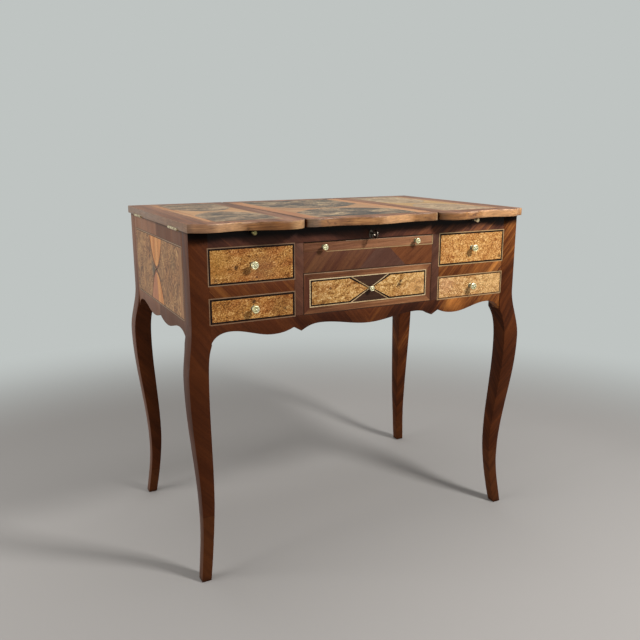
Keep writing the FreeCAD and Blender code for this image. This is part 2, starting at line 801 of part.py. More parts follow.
glass = box(-mirror_half + mirror_frame_width - mirror_lip, mirror_half - mirror_frame_width + mirror_lip,
            mirror_front + mirror_frame_width - mirror_lip, mirror_back - mirror_frame_width + mirror_lip,
            carcass_top - mirror_thickness, carcass_top)
save("mirror_frame", mirror_frame().cut(glass).Solids[0])
save("mirror_glass", glass)


# Catch bolts and keepers of the side flaps, shown drawn back
def catch_bolt():
    stem_end = rail_back + overrun
    stem_length = stem_end - facade + catch_travel
    return knob(-bay_middle, facade - catch_travel, catch_z, catch_knob_radius, catch_knob_projection,
                catch_stem_radius, stem_length)


def keeper():
    front_face = rail_back + overrun + play
    plate = box(-bay_middle - keeper_width / 2, -bay_middle + keeper_width / 2, front_face,
                front_face + keeper_thickness, carcass_top - keeper_drop, carcass_top)
    foot = box(-bay_middle - keeper_width / 2, -bay_middle + keeper_width / 2, front_face,
               front_face + keeper_width, carcass_top - keeper_thickness, carcass_top)
    hole = rod_y(keeper_hole_radius, -bay_middle, catch_z, front_face - overrun,
                 front_face + keeper_width / 2)
    return plate.fuse(foot).removeSplitter().cut(hole).Solids[0]


left_catch = catch_bolt()
save("catch_bolt_left", left_catch)
save("catch_bolt_right", flipped(left_catch))
left_keeper = keeper()
save("catch_keeper_left", left_keeper)
save("catch_keeper_right", flipped(left_keeper))
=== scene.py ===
import functools
import math

import bmesh
import bpy
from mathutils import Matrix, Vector
from mathutils.geometry import tessellate_polygon


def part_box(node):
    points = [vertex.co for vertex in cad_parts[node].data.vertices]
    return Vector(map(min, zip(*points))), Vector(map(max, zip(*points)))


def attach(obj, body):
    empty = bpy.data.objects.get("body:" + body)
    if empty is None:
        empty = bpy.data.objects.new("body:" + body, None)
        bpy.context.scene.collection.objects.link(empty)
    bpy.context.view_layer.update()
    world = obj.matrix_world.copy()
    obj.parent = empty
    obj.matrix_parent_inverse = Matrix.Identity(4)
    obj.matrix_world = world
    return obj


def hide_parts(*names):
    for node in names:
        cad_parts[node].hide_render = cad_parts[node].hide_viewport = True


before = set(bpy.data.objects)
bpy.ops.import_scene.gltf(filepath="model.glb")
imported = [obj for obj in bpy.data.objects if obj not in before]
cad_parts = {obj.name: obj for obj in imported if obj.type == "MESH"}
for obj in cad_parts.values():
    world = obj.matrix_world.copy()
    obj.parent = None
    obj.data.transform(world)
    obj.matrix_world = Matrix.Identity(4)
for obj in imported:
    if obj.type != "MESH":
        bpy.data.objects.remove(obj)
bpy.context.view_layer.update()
mm = 0.001
print("frame loaded:", len(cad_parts), "nodes")


def linear(hexColour):
    channels = [int(hexColour[i:i + 2], 16) / 255 for i in (1, 3, 5)]
    return [c / 12.92 if c <= 0.04045 else ((c + 0.055) / 1.055) ** 2.4 for c in channels] + [1]


# one node with its settings, values and links, given back as one of its outputs; a kind in capitals is a sum
def addNode(tree, kind, *values, out=0, stops=(), **settings):
    if kind.isupper():
        kind, settings["operation"] = "Math", kind
    node = tree.nodes.new(kind if "Node" in kind else "ShaderNode" + kind)
    for key, value in settings.items():
        setattr(node, key, value)
    given = values[0] if values and isinstance(values[0], dict) else dict(enumerate(values))
    for key, value in given.items():
        if isinstance(value, bpy.types.NodeSocket):
            tree.links.new(value, node.inputs[key])
        else:
            node.inputs[key].default_value = value
    if stops:
        elements = node.color_ramp.elements
        while len(elements) < len(stops):
            elements.new(0.5)
        for element, (position, colour) in zip(elements, stops):
            element.position = position
            element.color = linear(colour)
    return node.outputs[out] if node.outputs else node


def startMaterial(name, **sockets):
    material = bpy.data.materials.new(name)
    material.use_nodes = True
    material.node_tree.nodes.clear()
    add = functools.partial(addNode, material.node_tree)
    shader = add("BsdfPrincipled", {key.replace("_", " "): value for key, value in sockets.items()})
    add("OutputMaterial", shader)
    return material, add, shader.node


# colour, shine and relief led to the shader
def dress(add, shader, colour, roughness, height=None, depthMm=0.1, strength=0.3):
    sockets = {"Base Color": colour, "Roughness": roughness}
    if height is not None:
        sockets["Normal"] = add("Bump", {"Height": height, "Distance": depthMm * mm, "Strength": strength})
    for name, socket in sockets.items():
        shader.id_data.links.new(socket, shader.inputs[name])


# coordinates along and across the grain; upright faces use x + y and z, so front and sides show long grain
def grainSpace(add, plane, angle, mirrored=False):
    place = add("TexCoord", out="Object")
    if mirrored:  # book-matched left and right
        axes = add("SeparateXYZ", place).node.outputs
        place = add("CombineXYZ", add("ABSOLUTE", axes[0]), axes[1], axes[2])
    c, s = math.cos(math.radians(angle)), math.sin(math.radians(angle))
    axes = {"upright": ((c, c, s), (-s, -s, c)), "flat": ((c, s, 0), (-s, c, 0))}[plane]
    return [add("VectorMath", place, axis, operation="DOT_PRODUCT", out="Value") for axis in axes]


def axisValue(add, axis):
    return add("SeparateXYZ", add("TexCoord", out="Object"), out=axis)


# noise stretched to a length and a width in mm
def streaks(add, grain, lengthMm, widthMm, detail=3.0, distortion=0.0, seed=0.0, coarse=0.55):
    scale, shift = (1 / (lengthMm * mm), 1 / (widthMm * mm), 1), (seed, seed * 3, seed * 7)
    scaled = add("VectorMath", grain, scale, shift, operation="MULTIPLY_ADD")
    return add("TexNoise", {"Vector": scaled, "Scale": 1.0, "Detail": detail, "Roughness": coarse,
                            "Distortion": distortion})


# 0.5 plus each value's distance from its middle times its weight
def weigh(add, *parts):
    total = 0.5 - sum(weight for value, weight in parts) / 2
    for value, weight in parts:
        total = add("MULTIPLY_ADD", value, weight, total)
    return total


# a second colour (7) laid over the first (6) by its share (0)
stained = {"data_type": "RGBA", "out": 2}
darkened = dict(stained, blend_type="MULTIPLY")


# distance from a place in mm, seen flat along the axes whose share is 0
def awayFrom(add, shares, middleMm):
    flat = add("VectorMath", add("TexCoord", out="Object"), shares, operation="MULTIPLY")
    middle = [value * mm for value in middleMm]
    return add("VectorMath", flat, middle, operation="DISTANCE", out="Value")


smooth = {"interpolation_type": "SMOOTHSTEP"}


# a value that runs from one amount to another between two places in mm along an axis
def run(add, axis, fromMm, toMm, start, end, kind="SMOOTHSTEP"):
    return add("MapRange", axisValue(add, axis), fromMm * mm, toMm * mm, start, end, interpolation_type=kind)


wood = {
    "fibreMm": (22, 0.9), "fibre": 0.45, "poreMm": (6, 0.45), "poreDark": 0.62,  # drawn coarse, to show
    "leafSpread": 0.34, "glueMm": 0.9, "gluePale": 0.22,
    "cutMm": 0.8, "cutDark": -0.13, "cutPale": 0.15,
    "spliceMm": 0.7, "spliceDark": 0.35, "floorDarkMm": (2, 12), "floorDark": 0.6, "calmMm": (-150, 250),
}


# straight-grained veneer, sliced and French polished: dark streaks, fine open pores, a soft shine
def veneer(name, shade, angle=0, plane="upright", mirrored=False, figureMm=(120, 7), bandMm=(300, 34),
           seed=0.0, figure=1.0, band=0.8, rough=0.45, coat=0.03, shine=0.1, tint="#dcbcae", tintShare=0.3,
           leafMm=0, calmLeft=0.0, endLightAndTone=None, calmBelow=None, patches=(), darkBefore=None, overhangShadow=None,
           foot=None):
    polish = {"Coat_Weight": coat, "Coat_Roughness": 0.22, "Specular_IOR_Level": shine}
    material, add, shader = startMaterial(name, **polish)
    along, across = grainSpace(add, plane, angle, mirrored)
    grain = add("CombineXYZ", along, across)
    streak = streaks(add, grain, *figureMm, 4.0, 0.35, seed)
    bands = streaks(add, grain, *bandMm, 1.0, 0.2, seed + 5)
    fibre = streaks(add, grain, *wood["fibreMm"], 2.0, 0.0, seed + 9)
    pores = streaks(add, grain, *wood["poreMm"], 1.0, 0.0, seed + 13)
    tone = weigh(add, (streak, figure), (bands, band), (fibre, wood["fibre"]))
    if leafMm:  # separate leaves, each a little lighter or darker, with a fine glue line between
        place = add("DIVIDE", across, leafMm * mm)
        leaf = add("TexWhiteNoise", {"W": add("FLOOR", place)}, noise_dimensions="1D")
        tone = add("ADD", tone, add("MULTIPLY_ADD", leaf, wood["leafSpread"], -wood["leafSpread"] / 2))
        glue = add("LESS_THAN", add("FRACT", place), wood["glueMm"] / leafMm)
        tone = add("MULTIPLY_ADD", glue, wood["gluePale"], tone)
    if calmLeft:  # the left-hand half of the front has hardly any figure
        strength = run(add, 0, *wood["calmMm"], 1 - calmLeft, 1.0)
        tone = add("MULTIPLY_ADD", add("SUBTRACT", tone, 0.5), strength, 0.5)
    lift = 0.0
    if endLightAndTone:  # one end of the front lighter and more orange than the other: partly the veneer's own tone, partly painted light
        lift = run(add, 0, *endLightAndTone)
    if calmBelow:  # the legs are darker and plainer than the posts above them
        fromMm, toMm, strength, shift = calmBelow
        high = run(add, 2, fromMm, toMm, 0.0, 1.0)
        plain = add("MULTIPLY_ADD", add("SUBTRACT", tone, 0.5), strength, 0.5 + shift)
        tone = add("MULTIPLY_ADD", add("SUBTRACT", tone, plain), high, plain)
        lift = add("MULTIPLY", lift, high)
    tone = add("ADD", tone, lift)
    for patchX, patchZ, radius, more in patches:  # lighter or darker places in the veneer of the front
        away = awayFrom(add, (1, 0, 1), (patchX, 0, patchZ))
        away = add("MULTIPLY_ADD", add("SUBTRACT", streak, 0.5), radius * 1.5 * mm, away)
        tone = add("ADD", tone, add("MapRange", away, radius * 0.4 * mm, radius * mm, more, 0.0, **smooth))
    if darkBefore:  # the front half of each side was veneered from a darker leaf
        cut = run(add, 1, darkBefore, darkBefore + wood["cutMm"], wood["cutDark"], wood["cutPale"], "LINEAR")
        tone = add("ADD", tone, cut)
    colour = add("ValToRGB", tone, stops=shades[shade])
    purple = streaks(add, grain, bandMm[0] * 0.7, bandMm[1] * 1.3, 1.0, 0.0, seed + 17)
    purple = add("MapRange", purple, 0.4, 0.6, 0.0, tintShare)
    colour = add("Mix", {0: purple, 6: colour, 7: linear(tint)}, **darkened)
    dark = add("MapRange", pores, 0.33, 0.42, wood["poreDark"], 1.0)
    if overhangShadow:  # painted shadow under the overhang of the top: darker upwards, down to the share left
        fromMm, toMm, left = overhangShadow
        dark = add("MULTIPLY", dark, run(add, 2, fromMm, toMm, 1.0, left))
    if foot:  # plain foot spliced under the leg: lighter, with a fine dark joint, darker in its lowest mm at the floor
        spliceMm, footShade, share = foot
        height = axisValue(add, 2)
        below = add("LESS_THAN", height, spliceMm * mm)
        below = add("MULTIPLY", below, add("MapRange", streak, 0.3, 0.7, 0.25, share))
        colour = add("Mix", {0: below, 6: colour, 7: linear(footShade)}, **stained)
        gap = add("ABSOLUTE", add("SUBTRACT", height, spliceMm * mm))
        splice = add("MULTIPLY_ADD", add("LESS_THAN", gap, wood["spliceMm"] * mm), -wood["spliceDark"], 1.0)
        nearFloor = run(add, 2, *wood["floorDarkMm"], wood["floorDark"], 1.0)
        dark = add("MULTIPLY", dark, add("MULTIPLY", splice, nearFloor))
    colour = add("Mix", {0: 1.0, 6: colour, 7: dark}, **darkened)
    roughness = add("MULTIPLY_ADD", streak, 0.24, rough - 0.12)
    dress(add, shader, colour, roughness, add("MULTIPLY_ADD", pores, 0.6, fibre), 0.12, 0.35)
    return material


knotDark = "#33190a"


# burr veneer: curly grain with clouds of small dark eyes, cut from a root and polished
def burr(name, shade, plane="upright", curlMm=2.6, cloudMm=15, eyeMm=5.5, eyeColour=knotDark, eyes=0.55,
         swirl=0.0, swirlMm=90, turns=2.0, seed=0.0, curl=2.7, cloud=1.5, rough=0.4, tint="#dcb6a6",
         tintShare=0.6, growth=12, stretch=1.4, knots=()):
    material, add, shader = startMaterial(name, Coat_Weight=0.04, Coat_Roughness=0.2, Specular_IOR_Level=0.15)
    along, across = grainSpace(add, plane, growth)
    flat = add("CombineXYZ", add("ADD", along, seed * 0.37), across)
    warp = add("TexNoise", {"Vector": flat, "Scale": 1 / (cloudMm * 1.4 * mm), "Detail": 2.0}, out="Color")
    bent = add("VectorMath", warp, (cloudMm * mm, cloudMm * mm, 0.0), flat, operation="MULTIPLY_ADD")
    fine = streaks(add, bent, curlMm * stretch, curlMm, 4.0, 1.0, seed, 0.65)
    clouds = streaks(add, bent, cloudMm * 1.5, cloudMm, 2.0, 0.5, seed + 3)
    tone = weigh(add, (fine, curl), (clouds, cloud))
    if swirl:  # lines of the root's growth, curling round its knots
        field = {"Vector": flat, "Scale": 1 / (swirlMm * mm), "Detail": 1.5, "Distortion": 0.7}
        field = add("TexNoise", field)
        tone = add("MULTIPLY_ADD", add("SINE", add("MULTIPLY", field, swirlMm * turns)), swirl, tone)
    colour = add("ValToRGB", tone, stops=shades[shade])
    reddish = add("MapRange", streaks(add, flat, 60, 34, 1.0, 0.4, seed + 8), 0.42, 0.6, 0.0, tintShare)
    colour = add("Mix", {0: reddish, 6: colour, 7: linear(tint)}, **darkened)
    cells = add("TexVoronoi", {"Vector": bent, "Scale": 1 / (eyeMm * mm)}, feature="F1", out="Distance")
    crowd = add("MapRange", streaks(add, flat, 30, 24, 1.0, 0.3, seed + 11), 0.44, 0.6, 0.0, 1.0)
    spots = add("MULTIPLY", add("MapRange", cells, 0.1, 0.3, 1.0, 0.0), crowd)
    spots = add("MULTIPLY", spots, eyes)
    colour = add("Mix", {0: spots, 6: colour, 7: linear(eyeColour)}, **stained)
    for middle, knotMm, share, knotColour in knots:  # knots and stained places, the darkest in their heart
        away = awayFrom(add, [1 if value else 0 for value in middle], middle)
        ragged = min(knotMm, 14) * 2.2 * mm
        away = add("MULTIPLY_ADD", add("SUBTRACT", fine, 0.5), ragged, away)
        heart = add("MapRange", away, knotMm * 0.25 * mm, knotMm * mm, share, 0.0, **smooth)
        colour = add("Mix", {0: heart, 6: colour, 7: linear(knotColour)}, **stained)
    dress(add, shader, colour, add("MULTIPLY_ADD", fine, 0.2, rough - 0.1), fine)
    return material


edging = {
    "stops": [(0.0, "#4a2c19"), (0.3, "#825432"), (0.6, "#ae7a48"), (0.85, "#ca9863"), (1.0, "#e0ba8a")],
    "rubbed": "#c9a488", "dirty": "#5f432c", "spots": "#3c2012", "under": "#4a2f1c", "fadeMm": 26,
    "toneMm": (-400, 400), "arrisMm": (6, 0.5), "underMm": (16, 11), "rubbedFrom": (0.155, 0.165),
    "dirtyTo": (0.145, 0.16),
    "patches": [  # from, to, shade and its share
        (-394, -362, "#8d6a54", 0.6), (-405, -396, "#7b5d48", 0.75), (-340, -305, "#cda075", 0.5),
        # (-160, -140) grey brown: the curved left end of the centre flap's front, partly worn, partly painted
        # shade where it turns from the light
        (-250, -196, "#6f4421", 0.7), (-188, -165, "#c79c6c", 0.5), (-160, -140, "#6b5a4c", 0.75),
        (-118, -85, "#7d5a45", 0.35), (-60, 5, "#8a6244", 0.3), (20, 75, "#dba878", 0.5),
        (112, 150, "#7d5a3c", 0.4), (153, 159, "#c5a680", 0.7), (161, 190, "#6b4526", 0.6),
        (290, 350, "#dfab7c", 0.4)],
}


# cross-cut kingwood lipping around the top: bleached golden on the front, rubbed pale along its upper arris
def lipping(name, topMm):
    material, add, shader = startMaterial(name, Coat_Weight=0.08, Coat_Roughness=0.22, Specular_IOR_Level=0.3)
    along, across = grainSpace(add, "upright", 3)
    grain = add("CombineXYZ", along, across)
    beside = add("ABSOLUTE", axisValue(add, 0))
    streak = streaks(add, grain, 42, 3.0, 4.0, 0.6, 5)
    patch = streaks(add, grain, 46, 40, 2.0, 0.4, 8)
    # paler towards the right: partly the lipping's own tone, partly painted light
    paler = run(add, 0, *edging["toneMm"], -0.08, 0.12, "LINEAR")
    tone = add("ADD", weigh(add, (streak, 0.9), (patch, 1.0)), paler)
    colour = add("ValToRGB", tone, stops=edging["stops"])
    fromMm, toMm = edging["arrisMm"]
    arris = run(add, 2, topMm - fromMm, topMm - toMm, 0.0, 0.75)
    paleArris = add("MapRange", streaks(add, grain, 26, 14, 3.0, 0.0, 3), 0.42, 0.56, 0.0, 1.0)
    outerArris = add("MapRange", beside, *edging["rubbedFrom"], 0.1, 1.0)
    rubbed = add("MULTIPLY", add("MULTIPLY", arris, paleArris), outerArris)
    dirty = add("MULTIPLY", arris, add("MapRange", beside, *edging["dirtyTo"], 0.75, 0.0))
    spots = add("MapRange", streaks(add, grain, 12, 8, 3.0, 0.0, 21), 0.56, 0.66, 0.0, 0.7)
    fromMm, toMm = edging["underMm"]
    under = run(add, 2, topMm - fromMm, topMm - toMm, 0.35, 0.0)
    for share, shade in ((rubbed, "rubbed"), (dirty, "dirty"), (spots, "spots"), (under, "under")):
        colour = add("Mix", {0: share, 6: colour, 7: linear(edging[shade])}, **stained)
    for fromMm, toMm, shade, share in edging["patches"]:
        fading = min(edging["fadeMm"], toMm - fromMm)
        rising = run(add, 0, fromMm - fading, fromMm, 0.0, share)
        falling = run(add, 0, toMm, toMm + fading, 1.0, 0.0)
        share = add("MULTIPLY", rising, falling)
        colour = add("Mix", {0: share, 6: colour, 7: linear(shade)}, **stained)
    contrast = add("MapRange", streaks(add, grain, 18, 1.7, 3.0, 0.4, 31), 0.3, 0.7, 0.68, 1.3)
    colour = add("Mix", {0: 1.0, 6: colour, 7: contrast}, **darkened)
    dress(add, shader, colour, add("MULTIPLY_ADD", streak, 0.25, 0.26), streak, 0.1, 0.35)
    return material


# cast and turned metal: colour clouds from handling, faint scratches in the shine
def metal(name, colour, dull, roughness, patinaMm=5, scratchMm=0.9, recess=None):
    material, add, shader = startMaterial(name, Metallic=1.0)
    place = add("TexCoord", out="Object")
    patina = add("TexNoise", {"Vector": place, "Scale": 1 / (patinaMm * mm), "Detail": 5.0})
    scratch = add("TexNoise", {"Vector": place, "Scale": 1 / (scratchMm * mm), "Detail": 2.0})
    colour = add("ValToRGB", patina, stops=[(0.36, dull), (0.56, colour)])
    if recess:  # polish and grime left in the chased hollows, and on a knob's neck also painted shade
        hollow = add("Attribute", attribute_name="hollow", out="Fac")
        colour = add("Mix", {0: hollow, 6: colour, 7: linear(recess)}, **stained)
    dress(add, shader, colour, add("MULTIPLY_ADD", patina, -0.15, roughness + 0.1), scratch, 0.05, 0.25)
    return material


glass = {"foxMm": 20, "edgeMm": (25, 2), "edgeShift": (0.12, -0.06),
         "stops": [(0.38, "#9a958a"), (0.48, "#dfe3e1")]}


# silvered glass with a little foxing towards its edges
def mirrorGlass(name):
    material, add, shader = startMaterial(name, Metallic=1.0, Coat_Weight=1.0, Coat_Roughness=0.02)
    low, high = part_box("mirror_glass")
    place, (outer, inner) = add("TexCoord", out="Object"), glass["edgeMm"]
    fox = add("TexNoise", {"Vector": place, "Scale": 1 / (glass["foxMm"] * mm), "Detail": 6.0})
    for axis in (0, 1):
        middle, half = (low[axis] + high[axis]) / 2, (high[axis] - low[axis]) / 2
        away = add("ABSOLUTE", add("SUBTRACT", axisValue(add, axis), middle))
        nearEdge = add("MapRange", away, half - outer * mm, half - inner * mm, *glass["edgeShift"])
        fox = add("ADD", fox, nearEdge)
    colour = add("ValToRGB", fox, stops=glass["stops"])
    dress(add, shader, colour, add("MapRange", fox, 0.38, 0.5, 0.12, 0.03))
    return material


calf = {"pebbleMm": 1.4, "wearMm": 70, "stops": [(0.3, "#3f2415"), (0.7, "#6e4527")]}


# vegetable-tanned calf, waxed: small pebbled grain and darker handling marks
def calfLeather(name):
    material, add, shader = startMaterial(name, Coat_Weight=0.1, Coat_Roughness=0.35)
    place = add("TexCoord", out="Object")
    pebbles = add("TexVoronoi", {"Vector": place, "Scale": 1 / (calf["pebbleMm"] * mm)})
    wear = add("TexNoise", {"Vector": place, "Scale": 1 / (calf["wearMm"] * mm), "Detail": 4.0})
    colour = add("ValToRGB", wear, stops=calf["stops"])
    dress(add, shader, colour, add("MULTIPLY_ADD", wear, 0.2, 0.4), pebbles, 0.15, 0.4)
    return material


# shades from dark to pale, with the tones at which they lie
shadeTables = {
    (0.0, 0.35, 0.6, 0.8, 1.0): {
        "leg": "#1c0a04 #3b1b0c #5c2f15 #8a5326 #bb7738",
        "frieze": "#1a0d0a #38211b #573427 #7f4c30 #b07742"},
    (0.0, 0.4, 0.7, 1.0): {
        "divider": "#2a1712 #4f3226 #6a4433 #935f3c", "middle": "#3c2218 #5a3628 #764d31 #a46f42",
        "orange": "#43240f #633820 #83502d #ad7440", "slide": "#553220 #7b5038 #986a4a #b68960",
        "border": "#391f12 #684029 #8b5c3c #ab7c54", "borderUp": "#391d12 #583122 #744930 #9a693f",
        "top": "#4a2e1f #714d38 #92694f #b88f6e"},
    (0.0, 0.4, 0.65, 1.0): {
        "side": "#4f3122 #6f4b38 #8c6249 #ab8062"},
    (0.0, 0.35, 0.6, 1.0): {
        "post": "#3b1f14 #5b3a2b #785443 #9a7459"},
    (0.0, 0.35, 0.65, 1.0): {
        "tulip": "#92562f #ba7946 #d79b63 #eec491", "tulipLong": "#8b5a3a #a9764e #c08f64 #d4ac80",
        "tulipTop": "#83583a #a5794f #be956b #d5b48c", "tulipCentre": "#7b5036 #986e49 #ae8761 #c9a783"},
    (0.0, 0.4, 0.75, 1.0): {
        "oak": "#5f4124 #8c683a #a98656 #c3a473"},
    (0.0, 0.3, 0.55, 0.8, 1.0): {
        "thuya": "#4d280e #8a5523 #b57b3a #d19d58 #e5bf82",
        "thuyaPale": "#5f3a18 #9a6a34 #c5924f #dfb474 #efd29d",
        "thuyaPink": "#6e4522 #a4713c #cd9a5f #e5bb7f #f3d6a0",
        "walnut": "#453021 #735035 #99704a #b68c5d #d0a874",
        "greyWalnut": "#2b2118 #56442f #7a6348 #997f60 #bb9f7a",
        "darkWalnut": "#1f1812 #463728 #69563f #8b7458 #b0966f",
        "paleWalnut": "#503c29 #7e654a #a18663 #bca27f #d4bd9c"},
    (0.0, 0.25, 0.5, 0.75, 1.0): {
        "thuyaGold": "#5e2f10 #965a28 #c28847 #dcab66 #f0cf95"},
    (0.0, 0.5, 1.0): {
        "plainLeaf": "#3c2820 #5c3d31 #7d5a49", "tulipPink": "#864d35 #ad7556 #cb9b78",
        "tulipBrown": "#6b4830 #99704e #bd9068", "tulipPale": "#8b6a41 #b3905d #d3b888",
        "poplar": "#4d3523 #7a5a3d #a07d59"},
    (0.1, 0.9): {
        "boxwoodTop": "#8b6c4a #b8966a", "boxwood": "#8f7350 #c9ab7c", "boxwoodBright": "#b39468 #e8d2a8",
        "boxwoodDull": "#6d5240 #9d7f61", "boxwoodSide": "#83664f #b6977a", "ebony": "#0b0605 #21130e",
        "sideLine": "#38281c #5d4735", "wenge": "#241510 #513728"},
}
shades = {}
for tones, table in shadeTables.items():
    shades.update({key: list(zip(tones, colours.split())) for key, colours in table.items()})

slanting = {"mirrored": True, "calmLeft": 0.5}
legPolish = {"tintShare": 0.15, "coat": 0.0, "shine": 0.06}
raw = {"rough": 0.6, "coat": 0.0, "tintShare": 0.2}
topStripes = {"plane": "flat", "figureMm": (260, 6), "bandMm": (500, 16), "tintShare": 0.2}
topBurr = {"plane": "flat", "cloudMm": 40, "rough": 0.42, "growth": 20}

